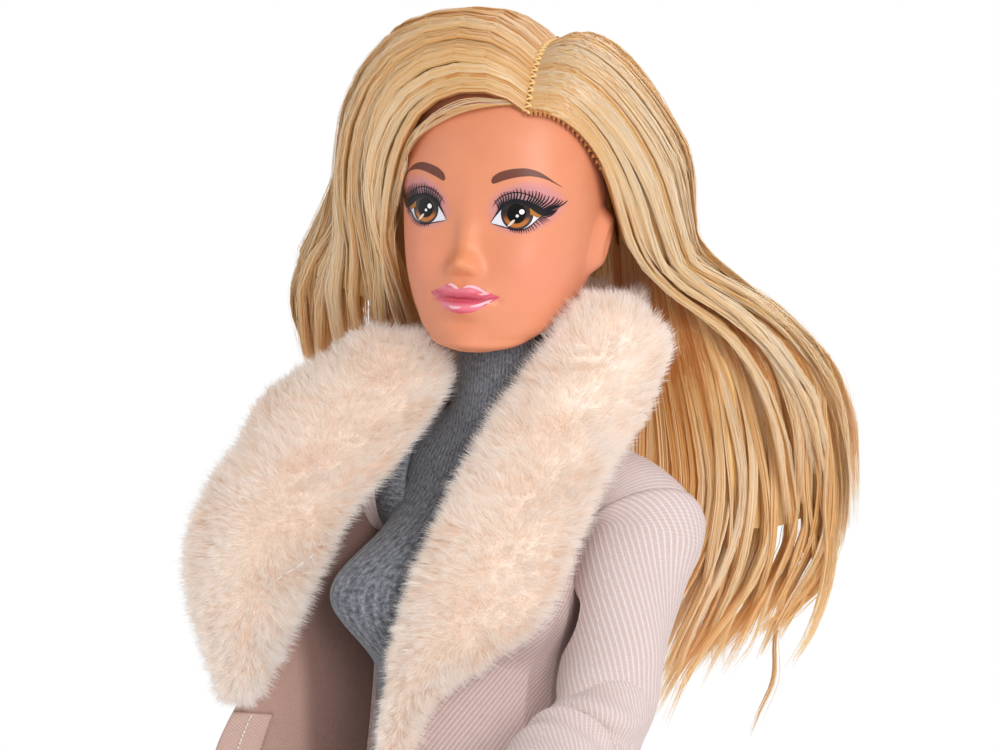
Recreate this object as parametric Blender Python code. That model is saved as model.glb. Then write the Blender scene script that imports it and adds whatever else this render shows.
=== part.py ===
"""Fashion doll, 290 mm tall, in a turtleneck, trousers, flat boots and an open coat with a fur shawl collar.

The doll faces -Y, its left side is +X, and its soles stand on z = 0. The rest pose has the left arm forward
and the right front of the coat thrown open. Lengths are in metres.
"""

import math

import bmesh
import bpy
import numpy as np
from mathutils import Matrix, Vector

# Driving sizes of the figure
TRUNK_LENGTH = 0.092
SHOULDER_HALF = 0.020
HEAD_HEIGHT = 0.0403
HEAD_HALF_WIDTH = 0.0128
THIGH_LENGTH = 0.070
SHIN_LENGTH = 0.066
SOLE_THICKNESS = 0.0025
ANKLE_HEIGHT = 0.0155
UPPER_ARM_LENGTH = 0.037
FOREARM_LENGTH = 0.032
HAND_LENGTH = 0.019

# Limb radii
THIGH_RADIUS = 0.0078
KNEE_RADIUS = 0.0058
ANKLE_RADIUS = 0.0034
ARM_RADIUS = 0.0037
ELBOW_RADIUS = 0.0034
WRIST_RADIUS = 0.0024
NECK_RADIUS = 0.0046

# Clearances and walls
GAP = 0.0003
RUNNING_GAP = 0.0004
OVERRUN = 0.004
VINYL_WALL = 0.0014
JERSEY = 0.0006
CLOTH = 0.0008
FUR = 0.0042

# Hinges
TONGUE_THICKNESS = 0.0018
PIN_RADIUS = 0.0009
KNEE_TONGUE_THICKNESS = 0.0026
KNEE_PIN_RADIUS = 0.0013
PIN_SIDES = 8

# Rest pose
ARM_SWING = {1: math.radians(35), -1: math.radians(-14)}
ARM_RAISE = {1: math.radians(4), -1: math.radians(7)}
ELBOW_BEND = {1: math.radians(32), -1: math.radians(14)}
SIDES = {1: "left", -1: "right"}

# The trunk's centre line and levels, as shares of the trunk's length above the hip joints
SHOULDER_LEVEL_SHARE = 0.788
NECK_AXLE_LEVEL_SHARE = 0.848
NECK_BASE_LEVEL_SHARE = 0.913
HIP_SIDE_SHARE = 0.47
SHOULDER_SIDE_SHARE = 1.04
ARMHOLE_SIDE_SHARE = 0.80
NECK_BACK_SHARE = 0.05

# Place of the trunk's centre line in the frame
MIDDLE_X = -0.0008
MIDDLE_Y = 0.0122

HIP_JOINT = SOLE_THICKNESS + ANKLE_HEIGHT + SHIN_LENGTH + THIGH_LENGTH
CHIN = HIP_JOINT + TRUNK_LENGTH


def level(share):
    """Height of a share of the trunk above the hip joints."""
    return HIP_JOINT + share * TRUNK_LENGTH


NECK_Y = NECK_BACK_SHARE * SHOULDER_HALF
SHOULDER_Z = level(SHOULDER_LEVEL_SHARE)

# Trunk: level, half width, front depth, back depth, centre y
TRUNK_SHARES = (
    (-0.045, 0.46, 0.34, 0.42, 0.00),
    (0.000, 0.66, 0.38, 0.50, 0.00),
    (0.050, 0.77, 0.41, 0.55, 0.00),
    (0.100, 0.84, 0.43, 0.58, -0.02),
    (0.170, 0.85, 0.44, 0.60, -0.06),
    (0.283, 0.70, 0.42, 0.47, -0.18),
    (0.391, 0.60, 0.38, 0.40, -0.25),
    (0.500, 0.63, 0.44, 0.40, -0.24),
    (0.652, 0.665, 0.58, 0.44, -0.10),
    (0.761, 0.67, 0.44, 0.43, 0.00),
    (0.837, 0.64, 0.36, 0.36, 0.05),
    (0.885, 0.42, 0.30, 0.30, 0.05),
    (0.913, 0.29, 0.29, 0.29, 0.05),
)
LEVEL_STEP_SHARE = 0.06
TRUNK_COLUMNS = 22
BUST_LEVEL_SHARE = 0.655
BUST_RISE_SHARE = 0.36
BUST_SPREAD_SHARE = 0.085
BUST_ANGLE = math.radians(39)
BUST_WIDTH_ANGLE = math.radians(24)

# Coat as it hangs free of the trunk: level, half width, front depth, back depth
COAT_SHARES = (
    (-0.05, 1.10, 0.98, 0.86),
    (0.08, 1.00, 0.92, 0.80),
    (0.20, 0.92, 0.86, 0.72),
    (0.391, 0.76, 0.80, 0.56),
    (0.500, 0.74, 0.80, 0.52),
    (0.652, 0.76, 0.80, 0.54),
    (0.761, 0.80, 0.60, 0.55),
    (0.837, 0.82, 0.46, 0.50),
    (0.875, 0.74, 0.40, 0.44),
    (0.905, 0.56, 0.38, 0.40),
    (0.940, 0.42, 0.38, 0.40),
)


# Folds of the coat's skirt: how many go round it, how far they stand out, and the level where they start
FOLD_COUNT = 8
FOLD_RISE_SHARE = 0.12
FOLD_START_SHARE = 0.46


def curve(at, table):
    """Smooth values between the rows of a table, by Hermite curves through its first column."""
    keys = [row[0] for row in table]
    values = np.array([row[1:] for row in table], float)
    slopes = np.gradient(values, keys, axis=0)
    index = int(np.clip(np.searchsorted(keys, at) - 1, 0, len(keys) - 2))
    span = keys[index + 1] - keys[index]
    t = float(np.clip((at - keys[index]) / span, 0, 1))
    rise = t * t * (3 - 2 * t)
    start, end = t * (1 - t) ** 2, t * t * (t - 1)
    return (
        (1 - rise) * values[index]
        + rise * values[index + 1]
        + span * (start * slopes[index] + end * slopes[index + 1])
    )


def ellipse_radius(angle, half_width, front, back):
    depth = front if math.cos(angle) > 0 else back
    return 1 / math.hypot(math.sin(angle) / half_width, math.cos(angle) / depth)


def trunk_radius(share, angle):
    """Distance of the trunk's skin from its centre line; angle 0 is the front, positive to the doll's left."""
    half_width, front, back, _ = curve(share, TRUNK_SHARES)
    radius = ellipse_radius(angle, half_width, front, back)
    turn = (abs(math.remainder(angle, math.tau)) - BUST_ANGLE) / BUST_WIDTH_ANGLE
    rise = (share - BUST_LEVEL_SHARE) / BUST_SPREAD_SHARE
    return SHOULDER_HALF * (radius + BUST_RISE_SHARE * math.exp(-turn * turn - rise * rise))


def trunk_point(share, angle, offset):
    radius = trunk_radius(share, angle) + offset
    centre_y = SHOULDER_HALF * curve(share, TRUNK_SHARES)[3]
    return (radius * math.sin(angle), centre_y - radius * math.cos(angle), level(share))


JERSEY_INSIDE = 2 * GAP
JERSEY_OUTSIDE = JERSEY_INSIDE + JERSEY
COAT_INSIDE = JERSEY_OUTSIDE + 3 * GAP


def coat_point(share, angle, offset):
    """A point of the coat's inside plus an offset: it lies on the sweater, or hangs free of it."""
    at = min(share, TRUNK_SHARES[-1][0])
    hang_share = min(max((FOLD_START_SHARE - share) / FOLD_START_SHARE, 0), 1)
    fold_share = FOLD_RISE_SHARE * hang_share * (1 - math.cos(FOLD_COUNT * angle)) / 2
    hanging = SHOULDER_HALF * (ellipse_radius(angle, *curve(share, COAT_SHARES)) + fold_share)
    radius = max(hanging, trunk_radius(at, angle) + COAT_INSIDE) + offset
    centre_y = SHOULDER_HALF * curve(at, TRUNK_SHARES)[3]
    return (radius * math.sin(angle), centre_y - radius * math.cos(angle), level(share))


def trunk_levels(low, high):
    """The levels that every layer on the trunk shares, so that the layers' facets lie parallel."""
    steps = [LEVEL_STEP_SHARE * k for k in range(-2, math.ceil(1 / LEVEL_STEP_SHARE))]
    between = [share for share in steps if low + LEVEL_STEP_SHARE / 3 < share < high - LEVEL_STEP_SHARE / 3]
    return [low, *between, high]


def trunk_turns():
    return [math.tau * k / TRUNK_COLUMNS for k in range(TRUNK_COLUMNS)]


# Meshes
def make(name, verts, faces, material):
    mesh = bpy.data.meshes.new(name)
    mesh.from_pydata([tuple(v) for v in verts], [], faces)
    mesh.validate()
    tidy = bmesh.new()
    tidy.from_mesh(mesh)
    bmesh.ops.recalc_face_normals(tidy, faces=tidy.faces)
    tidy.to_mesh(mesh)
    tidy.free()
    mesh.shade_smooth()
    mesh.set_sharp_from_angle(angle=math.radians(50))
    thing = bpy.data.objects.new(name, mesh)
    bpy.context.collection.objects.link(thing)
    if material:
        mesh.materials.append(material)
    return thing


def slab(name, inner, outer, material, wrap=False, dome=False):
    """A sheet of real thickness between two grids of points; wrap joins its ends, dome closes its last row."""
    inner, outer = np.asarray(inner, float), np.asarray(outer, float)
    rows, columns = inner.shape[:2]
    verts = np.concatenate([inner.reshape(-1, 3), outer.reshape(-1, 3)])
    faces = []

    def at(layer, row, column):
        return layer * rows * columns + row * columns + column % columns

    last = columns if wrap else columns - 1
    for row in range(rows - 1):
        for column in range(last):
            a, b = (row, column), (row, column + 1)
            c, d = (row + 1, column + 1), (row + 1, column)
            for corners in ((a, b, c), (a, c, d)):
                faces.append([at(1, *p) for p in corners])
                faces.append([at(0, *p) for p in reversed(corners)])
    if dome:
        faces.append([at(1, rows - 1, column) for column in range(columns)])
        faces.append([at(0, rows - 1, column) for column in reversed(range(columns))])
    for column in range(last):
        for row, flip in ((0, 1),) if dome else ((0, 1), (rows - 1, -1)):
            rim = [at(0, row, column), at(0, row, column + 1), at(1, row, column + 1), at(1, row, column)]
            faces.append(rim[::flip])
    if not wrap:
        for row in range(rows - 1):
            for column, flip in ((0, -1), (columns - 1, 1)):
                rim = [at(0, row, column), at(0, row + 1, column), at(1, row + 1, column), at(1, row, column)]
                faces.append(rim[::flip])
    return make(name, verts, faces, material)


def loft(name, rings, material):
    """A solid through closed rings of points, with a flat face at each end."""
    rings = np.asarray(rings, float)
    rows, columns = rings.shape[:2]
    faces = [list(range(columns)), list(range((rows - 1) * columns, rows * columns))]
    for row in range(rows - 1):
        for column in range(columns):
            after = (column + 1) % columns
            near, far = row * columns, (row + 1) * columns
            faces.append([near + column, near + after, far + after])
            faces.append([near + column, far + after, far + column])
    return make(name, rings.reshape(-1, 3), faces, material)


def turned(name, profile, sides, material, squash=1):
    """A solid turned about Z from (radius, height) pairs."""
    rings = []
    for radius, height in profile:
        turns = [math.tau * k / sides for k in range(sides)]
        rings.append([(radius * math.cos(t), squash * radius * math.sin(t), height) for t in turns])
    return loft(name, rings, material)


def rod(name, start, end, radius, sides, material):
    start, end = Vector(start), Vector(end)
    length = (end - start).length
    thing = turned(name, [(radius, 0), (radius, length)], sides, material)
    thing.matrix_world = Matrix.Translation(start) @ (end - start).to_track_quat("Z", "Y").to_matrix().to_4x4()
    return settle(thing)


def block(name, low, high, material):
    xs, ys, zs = zip(low, high)
    ring = [(0, 0), (1, 0), (1, 1), (0, 1)]
    return loft(name, [[(xs[i], ys[j], z) for i, j in ring] for z in zs], material)


def settle(thing, matrix=None):
    """Bakes an object's placement into its mesh."""
    thing.data.transform(matrix or thing.matrix_world)
    thing.matrix_world = Matrix.Identity(4)
    return thing


def combine(thing, other, operation):
    """Joins another solid to this one, or cuts it out, and removes the other."""
    step = thing.modifiers.new(operation.lower(), "BOOLEAN")
    step.operation = operation
    step.object = other
    bpy.context.view_layer.update()
    result = bpy.data.meshes.new_from_object(thing.evaluated_get(bpy.context.evaluated_depsgraph_get()))
    thing.modifiers.clear()
    thing.data = result
    bpy.data.objects.remove(other)
    return thing


def hang(thing, parent, place):
    """Puts an object made about its own joint under its parent, with its origin on the joint."""
    thing.parent = parent
    thing.matrix_parent_inverse = Matrix.Identity(4)
    thing.matrix_basis = place
    return thing


def joint_frame(name, parent, place):
    frame = bpy.data.objects.new(name, None)
    bpy.context.collection.objects.link(frame)
    return hang(frame, parent, place)


def paint(name, colour, roughness, metallic=0.0):
    material = bpy.data.materials.new(name)
    material.use_nodes = True
    shader = material.node_tree.nodes["Principled BSDF"]
    shader.inputs["Base Color"].default_value = (*colour, 1)
    shader.inputs["Roughness"].default_value = roughness
    shader.inputs["Metallic"].default_value = metallic
    return material


for old in list(bpy.data.objects):
    bpy.data.objects.remove(old)

SKIN = paint("skin_vinyl", (0.80, 0.32, 0.17), 0.42)
BODY = paint("body_plastic", (0.76, 0.35, 0.21), 0.45)
PIN = paint("pin_plastic", (0.80, 0.78, 0.74), 0.4)
HAIR = paint("hair_fibre", (0.75, 0.47, 0.20), 0.35)
KNIT = paint("grey_jersey", (0.16, 0.165, 0.19), 0.95)
COAT = paint("coat_twill", (0.58, 0.44, 0.41), 0.85)
PILE = paint("cream_fur", (0.84, 0.68, 0.54), 0.9)
TROUSER = paint("dark_cloth", (0.03, 0.03, 0.035), 0.9)
BOOT = paint("boot_leather", (0.10, 0.05, 0.03), 0.45)
RUBBER = paint("boot_rubber", (0.03, 0.028, 0.026), 0.7)


# Head and neck
HEAD_SHARES = (
    # height, half width, front, back, centre y: height of the head's height, the rest of its half width
    (0.000, 0.16, 0.12, 0.12, -0.84),
    (0.012, 0.34, 0.24, 0.26, -0.80),
    (0.050, 0.56, 0.46, 0.48, -0.62),
    (0.124, 0.76, 0.72, 0.72, -0.38),
    (0.223, 0.89, 0.90, 0.94, -0.20),
    (0.347, 0.96, 0.98, 1.08, -0.10),
    (0.447, 0.99, 1.00, 1.16, -0.06),
    (0.595, 1.00, 1.06, 1.19, -0.04),
    (0.744, 0.93, 0.93, 1.12, -0.02),
    (0.868, 0.76, 0.75, 0.90, 0.02),
    (0.955, 0.47, 0.46, 0.56, 0.08),
    (1.000, 0.12, 0.12, 0.14, 0.12),
)
HEAD_COLUMNS = 26
HEAD_ROWS = 15
CAVITY_COLUMNS = 12
CAVITY_ROWS = 7
NOSE_HEIGHT_SHARE = 0.285
NOSE_RISE_SHARE = 0.23
NOSE_ANGLE = math.radians(13)
NOSE_SPREAD_SHARE = 0.055
EAR_HEIGHT_SHARE = 0.38
EAR_RISE_SHARE = 0.10
EAR_ANGLE = math.radians(97)
EAR_WIDTH_ANGLE = math.radians(11)
EAR_SPREAD_SHARE = 0.10
HEAD_TOP_ROW_SHARE = 0.992
NECK_HOLE_RADIUS = 0.0041
NECK_STEM_RADIUS = 0.0035
NECK_STEM_RISE = 0.0095
NECK_FLANGE_RADIUS = 0.0052
NECK_FLANGE_THICKNESS = 0.0014
NECK_AXLE_RADIUS = 0.0014
NECK_CUFF_DROP = 0.0012
HEAD_SEAT_RISE = 0.0030


def head_point(share, angle, offset):
    """A point of the head's skin, with angle 0 at the nose and positive to the doll's left."""
    half_width, front, back, centre = curve(share, HEAD_SHARES)
    radius = ellipse_radius(angle, half_width, front, back)
    turn = math.remainder(angle, math.tau)
    across, up = turn / NOSE_ANGLE, (share - NOSE_HEIGHT_SHARE) / NOSE_SPREAD_SHARE
    radius += NOSE_RISE_SHARE * math.exp(-across * across - up * up)
    across, up = (abs(turn) - EAR_ANGLE) / EAR_WIDTH_ANGLE, (share - EAR_HEIGHT_SHARE) / EAR_SPREAD_SHARE
    radius += EAR_RISE_SHARE * math.exp(-across * across - up * up)
    radius = HEAD_HALF_WIDTH * radius + offset
    y = HEAD_HALF_WIDTH * centre - radius * math.cos(angle)
    return (radius * math.sin(angle), y, CHIN + share * HEAD_HEIGHT)


def head_rings(rows, columns, offset, low, high):
    """Rings of the head, closer together near the chin and the crown."""
    rings = []
    for row in range(rows):
        share = low + (high - low) * (1 - math.cos(math.pi * row / (rows - 1))) / 2
        rings.append([head_point(share, math.tau * k / columns, offset) for k in range(columns)])
    return rings


def build_head(neck):
    head = loft("head", head_rings(HEAD_ROWS, HEAD_COLUMNS, 0, 0, HEAD_TOP_ROW_SHARE), SKIN)
    wall_share = VINYL_WALL / HEAD_HEIGHT
    low = (HEAD_SEAT_RISE + VINYL_WALL) / HEAD_HEIGHT
    rings = head_rings(CAVITY_ROWS, CAVITY_COLUMNS, -VINYL_WALL - GAP, low, HEAD_TOP_ROW_SHARE - 2 * wall_share)
    combine(head, loft("head_cavity", rings, None), "DIFFERENCE")
    bottom, inside = (0, NECK_Y, CHIN - OVERRUN), (0, NECK_Y, CHIN + NECK_STEM_RISE)
    combine(head, rod("neck_hole", bottom, inside, NECK_HOLE_RADIUS, 16, None), "DIFFERENCE")
    settle(head, Matrix.Translation((0, -NECK_Y, -CHIN)))
    return hang(head, neck, Matrix.Translation((0, 0, CHIN - level(NECK_AXLE_LEVEL_SHARE))))


def build_neck():
    """The neck turns on a cross axle, and its flange keeps the head on."""
    axle_z = level(NECK_AXLE_LEVEL_SHARE)
    frame = joint_frame("neck_joint", None, Matrix.Translation((0, NECK_Y, axle_z)))
    base = level(NECK_BASE_LEVEL_SHARE) - axle_z + GAP
    shoulder = CHIN - axle_z - NECK_CUFF_DROP
    flange = CHIN - axle_z + NECK_STEM_RISE
    profile = [
        (NECK_STEM_RADIUS, -NECK_AXLE_RADIUS),
        (NECK_STEM_RADIUS, base),
        (NECK_RADIUS, base + GAP),
        (NECK_RADIUS, shoulder),
        (NECK_STEM_RADIUS, shoulder + GAP),
        (NECK_STEM_RADIUS, flange),
        (NECK_FLANGE_RADIUS, flange + GAP),
        (NECK_FLANGE_RADIUS, flange + NECK_FLANGE_THICKNESS),
    ]
    post = turned("neck_post", profile, 16, BODY)
    above = NECK_AXLE_LEVEL_SHARE + NECK_AXLE_RADIUS / TRUNK_LENGTH
    reach = trunk_radius(above, math.pi / 2) - VINYL_WALL - 2 * GAP
    combine(post, rod("neck_axle", (-reach, 0, 0), (reach, 0, 0), NECK_AXLE_RADIUS, PIN_SIDES, BODY), "UNION")
    hang(post, frame, Matrix.Identity(4))
    return frame


# Trunk
CAVITY_LOW_SHARE = 0.20
CAVITY_HIGH_SHARE = 0.93
SHOULDER_AXLE_RADIUS = 0.0021
SHOULDER_DISC_RADIUS = 0.0042
HIP_AXLE_RADIUS = 0.0022
DISC_THICKNESS = 0.0014
HIP_BACK_ANGLE = math.radians(25)
AXLE_HEAD_THICKNESS = 0.0012
AXLE_HEAD_EXTRA = 0.0008


def trunk_solid(name, offset, low, high, material):
    """The trunk's outer shape, or its hollow; a hollow that opens at the neck runs straight past it."""
    rings = []
    for share in trunk_levels(low, high):
        at = min(share, TRUNK_SHARES[-1][0])
        rings.append([(*trunk_point(at, turn, offset)[:2], level(share)) for turn in trunk_turns()])
    return loft(name, rings, material)


def hip_place(side):
    return Vector((side * HIP_SIDE_SHARE * SHOULDER_HALF, NECK_Y, HIP_JOINT))


def hip_clearance(side, radius):
    """Room for the thigh's ball, with the thigh anywhere from straight ahead to its furthest back."""
    place = hip_place(side)
    reach = SHOULDER_HALF + OVERRUN
    back = Vector((0, math.sin(HIP_BACK_ANGLE), -math.cos(HIP_BACK_ANGLE)))
    rings = []
    for k in range(9):
        along = math.radians(-88 + 22 * k)
        wide = radius * math.cos(along)
        turns = [math.pi / 2 + (HIP_BACK_ANGLE - math.pi / 2) * step / 4 for step in range(5)]
        outline = [Vector((0, wide * math.cos(t), wide * math.sin(t))) for t in turns]
        outline = [Vector((0, -reach, wide)), *outline, outline[-1] + reach * back, Vector((0, -reach, -reach))]
        rings.append([place + Vector((radius * math.sin(along), 0, 0)) + corner for corner in outline])
    return loft("hip_room", rings, None)


def ball_profile(radius, low=-math.pi / 2, steps=10, high=math.pi / 2):
    """Half a circle of (radius, height) pairs, whose poles keep a small flat."""
    flat = math.pi / (3 * steps)
    turns = [low + flat + (high - low - 2 * flat) * k / steps for k in range(steps + 1)]
    return [(radius * math.cos(t), radius * math.sin(t)) for t in turns]


def build_trunk():
    """Front and back shells that meet at the axles."""
    low, high = TRUNK_SHARES[0][0], TRUNK_SHARES[-1][0]
    wide = SHOULDER_HALF + OVERRUN
    for name, near, far in (("torso_front", -wide, NECK_Y - GAP / 2), ("torso_back", NECK_Y + GAP / 2, wide)):
        shell = trunk_solid(name, 0, low, high, BODY)
        cavity = trunk_solid("trunk_cavity", -VINYL_WALL, CAVITY_LOW_SHARE, CAVITY_HIGH_SHARE, None)
        combine(shell, cavity, "DIFFERENCE")
        half = block("half", (-wide, near, 0), (wide, far, CHIN), None)
        combine(shell, half, "INTERSECT")
        for side in SIDES:
            combine(shell, hip_clearance(side, THIGH_RADIUS + RUNNING_GAP), "DIFFERENCE")
            centre = (0, NECK_Y, SHOULDER_Z)
            end = (side * wide, NECK_Y, SHOULDER_Z)
            axle = rod("axle_hole", (side * GAP, *centre[1:]), end, SHOULDER_AXLE_RADIUS + GAP, 12, None)
            combine(shell, axle, "DIFFERENCE")
        ends = [hip_place(side) for side in SIDES]
        combine(shell, rod("hip_axle_hole", *ends, HIP_AXLE_RADIUS + GAP, 12, None), "DIFFERENCE")


# Pinned hinges between limb pieces
LIMB_SIDES = 10


def limb(name, profile, material):
    """A round limb along -Z from (radius, distance below its joint) pairs."""
    return turned(name, [(radius, -down) for radius, down in profile], LIMB_SIDES, material)


def forked_end(thing, centre_z, radius, tongue, pin):
    """Cuts the slot and the pin hole of a hinge across X into a limb's lower end."""
    half = tongue / 2 + RUNNING_GAP
    reach = radius + OVERRUN
    top = centre_z + radius + RUNNING_GAP
    combine(thing, block("slot", (-half, -reach, centre_z - reach), (half, reach, top), None), "DIFFERENCE")
    hole = rod("pin_hole", (-reach, 0, centre_z), (reach, 0, centre_z), pin + GAP, PIN_SIDES, None)
    return combine(thing, hole, "DIFFERENCE")


def tongued_start(thing, radius, tongue, pin, root):
    """Adds the round tongue of a hinge across X to a limb's upper end, with its pin hole."""
    half = tongue / 2
    disc = rod("tongue", (-half, 0, 0), (half, 0, 0), radius - RUNNING_GAP, 12, thing.data.materials[0])
    narrow = radius * 0.6
    strap = block("tongue_root", (-half, -narrow, -root), (half, narrow, 0), thing.data.materials[0])
    combine(disc, strap, "UNION")
    combine(thing, disc, "UNION")
    reach = radius + OVERRUN
    hole = rod("pin_hole", (-reach, 0, 0), (reach, 0, 0), pin + GAP, PIN_SIDES, None)
    return combine(thing, hole, "DIFFERENCE")


def hinge_pin(name, radius, pin):
    return rod(name, (-radius * 0.88, 0, 0), (radius * 0.88, 0, 0), pin, PIN_SIDES, PIN)


# Arms
TONGUE_TIP_SHARE = 0.54
HAND_SHARES = (
    # down the hand, half thickness, half width, forward: all of the hand's length
    (0.00, 0.115, 0.120, 0.00),
    (0.10, 0.120, 0.150, 0.00),
    (0.28, 0.125, 0.215, 0.01),
    (0.48, 0.120, 0.225, 0.02),
    (0.66, 0.090, 0.205, 0.04),
    (0.84, 0.070, 0.165, 0.07),
    (0.97, 0.045, 0.100, 0.09),
    (1.00, 0.020, 0.045, 0.095),
)
THUMB_START_SHARES = (0.0, -0.10, -0.22)
THUMB_END_SHARES = (0.0, -0.33, -0.52)
THUMB_RADIUS_SHARE = 0.062
WRIST_PEG_RADIUS = 0.0011
WRIST_PEG_LENGTH = 0.0045


def shoulder_joint(side):
    return Vector((side * SHOULDER_SIDE_SHARE * SHOULDER_HALF, NECK_Y, SHOULDER_Z))


def arm_frames(side):
    """Placements of the raise, elbow and wrist joints for one arm, in world space."""
    swing = Matrix.Translation(shoulder_joint(side)) @ Matrix.Rotation(-ARM_SWING[side], 4, "X")
    arm = swing @ Matrix.Rotation(-side * ARM_RAISE[side], 4, "Y")
    elbow = arm @ Matrix.Translation((0, 0, -UPPER_ARM_LENGTH)) @ Matrix.Rotation(-ELBOW_BEND[side], 4, "X")
    wrist = elbow @ Matrix.Translation((0, 0, -FOREARM_LENGTH))
    return swing, arm, elbow, wrist


def build_arm(side):
    label = SIDES[side]
    swing, arm, elbow, wrist = arm_frames(side)
    frame = joint_frame(f"shoulder_joint_{label}", None, swing)
    build_shoulder_disc(side, frame)
    radius = ARM_RADIUS
    profile = [(r, -h) for r, h in reversed(ball_profile(radius, low=0, steps=4))]
    profile += [(ARM_RADIUS * 0.97, UPPER_ARM_LENGTH * 0.35), (ELBOW_RADIUS, UPPER_ARM_LENGTH)]
    profile += [(r, UPPER_ARM_LENGTH - h) for r, h in reversed(ball_profile(ELBOW_RADIUS, steps=4, high=0))]
    upper = limb(f"upper_arm_{label}", profile, BODY)
    half = TONGUE_THICKNESS / 2 + RUNNING_GAP
    reach = radius + OVERRUN
    inner, outer = sorted((-side * reach, side * (TONGUE_TIP_SHARE * radius + RUNNING_GAP)))
    room = block("raise_slot", (inner, -half, -radius), (outer, half, reach), None)
    combine(upper, room, "DIFFERENCE")
    hole = rod("raise_pin_hole", (0, -reach, 0), (0, reach, 0), PIN_RADIUS + GAP, PIN_SIDES, None)
    combine(upper, hole, "DIFFERENCE")
    forked_end(upper, -UPPER_ARM_LENGTH, ELBOW_RADIUS, TONGUE_THICKNESS, PIN_RADIUS)
    raise_frame = joint_frame(f"raise_joint_{label}", frame, swing.inverted() @ arm)
    hang(upper, raise_frame, Matrix.Identity(4))
    pin = hinge_pin(f"shoulder_pin_{label}", ARM_RADIUS, PIN_RADIUS)
    hang(pin, frame, Matrix.Rotation(math.pi / 2, 4, "Z"))

    elbow_frame = joint_frame(f"elbow_joint_{label}", raise_frame, arm.inverted() @ elbow)
    start = ELBOW_RADIUS + RUNNING_GAP
    profile = [
        (ELBOW_RADIUS * 0.93, start),
        (ELBOW_RADIUS, start + FOREARM_LENGTH * 0.2),
        (ELBOW_RADIUS * 0.86, FOREARM_LENGTH * 0.6),
        (WRIST_RADIUS, FOREARM_LENGTH - GAP),
    ]
    fore = limb(f"forearm_{label}", profile, BODY)
    tongued_start(fore, ELBOW_RADIUS, TONGUE_THICKNESS, PIN_RADIUS, start + OVERRUN / 2)
    end = -FOREARM_LENGTH
    bore = rod("wrist_bore", (0, 0, end - OVERRUN), (0, 0, end + WRIST_PEG_LENGTH + GAP),
               WRIST_PEG_RADIUS + GAP, PIN_SIDES, None)
    combine(fore, bore, "DIFFERENCE")
    hang(fore, elbow_frame, Matrix.Identity(4))
    pin = hinge_pin(f"elbow_pin_{label}", ELBOW_RADIUS, PIN_RADIUS)
    hang(pin, raise_frame, Matrix.Translation((0, 0, -UPPER_ARM_LENGTH)))
    wrist_frame = joint_frame(f"wrist_joint_{label}", elbow_frame, elbow.inverted() @ wrist)
    build_hand(side, wrist_frame)


def build_shoulder_disc(side, frame):
    """Axle through the torso's side, disc outside it, and the tongue that the arm lifts on."""
    joint_x = SHOULDER_SIDE_SHARE * SHOULDER_HALF
    wall_x = trunk_radius(SHOULDER_LEVEL_SHARE, math.pi / 2)
    disc_x = wall_x + GAP - joint_x
    tip_radius = TONGUE_TIP_SHARE * ARM_RADIUS
    head_radius = SHOULDER_AXLE_RADIUS + AXLE_HEAD_EXTRA
    above = SHOULDER_LEVEL_SHARE + head_radius / TRUNK_LENGTH
    _, front, back, _ = curve(SHOULDER_LEVEL_SHARE, TRUNK_SHARES)
    depth = min(front, back) * SHOULDER_HALF - VINYL_WALL
    rounding = math.sqrt(1 - ((head_radius + NECK_Y) / depth) ** 2)
    head_x = (trunk_radius(above, math.pi / 2) - VINYL_WALL) * rounding - 2 * GAP - joint_x

    def along(x):
        return (side * x, 0, 0)

    disc = rod(f"shoulder_disc_{SIDES[side]}", along(disc_x), along(disc_x + DISC_THICKNESS),
               SHOULDER_DISC_RADIUS, 14, BODY)
    axle = rod("axle", along(head_x - AXLE_HEAD_THICKNESS / 2), along(disc_x + DISC_THICKNESS / 2),
               SHOULDER_AXLE_RADIUS, 12, BODY)
    combine(disc, axle, "UNION")
    head = rod("axle_head", along(head_x - AXLE_HEAD_THICKNESS), along(head_x),
               head_radius, 12, BODY)
    combine(disc, head, "UNION")
    half = TONGUE_THICKNESS / 2
    inner, outer = sorted((side * (disc_x + DISC_THICKNESS / 2), 0))
    strap = block("strap", (inner, -half, -tip_radius * 0.8), (outer, half, tip_radius * 0.8), BODY)
    tip = rod("tongue_tip", (0, -half, 0), (0, half, 0), tip_radius, 12, BODY)
    combine(strap, tip, "UNION")
    combine(disc, strap, "UNION")
    hole = rod("pin_hole", (0, -OVERRUN, 0), (0, OVERRUN, 0), PIN_RADIUS + GAP, PIN_SIDES, None)
    combine(disc, hole, "DIFFERENCE")
    hang(disc, frame, Matrix.Identity(4))


def build_hand(side, frame):
    rings = []
    for down, thick, wide, ahead in HAND_SHARES:
        ring = []
        for k in range(8):
            turn = math.tau * k / 8
            ring.append((thick * math.cos(turn), wide * math.sin(turn) - ahead, -down))
        rings.append(ring)
    hand = loft(f"hand_{SIDES[side]}", np.array(rings) * HAND_LENGTH, SKIN)
    thumb = rod("thumb", Vector(THUMB_START_SHARES) * HAND_LENGTH, Vector(THUMB_END_SHARES) * HAND_LENGTH,
                THUMB_RADIUS_SHARE * HAND_LENGTH, 10, SKIN)
    combine(hand, thumb, "UNION")
    peg = rod("wrist_peg", (0, 0, -OVERRUN / 2), (0, 0, WRIST_PEG_LENGTH), WRIST_PEG_RADIUS, PIN_SIDES, SKIN)
    combine(hand, peg, "UNION")
    hang(hand, frame, Matrix.Identity(4))


# Legs and boots
FOOT_LENGTH = 0.030
FOOT_HALF_WIDTH = 0.0044
FOOT_HEEL_SHARE = 0.27
BOOT_WALL = 0.0009
BOOT_SHAFT_RISE = 0.0065
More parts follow.
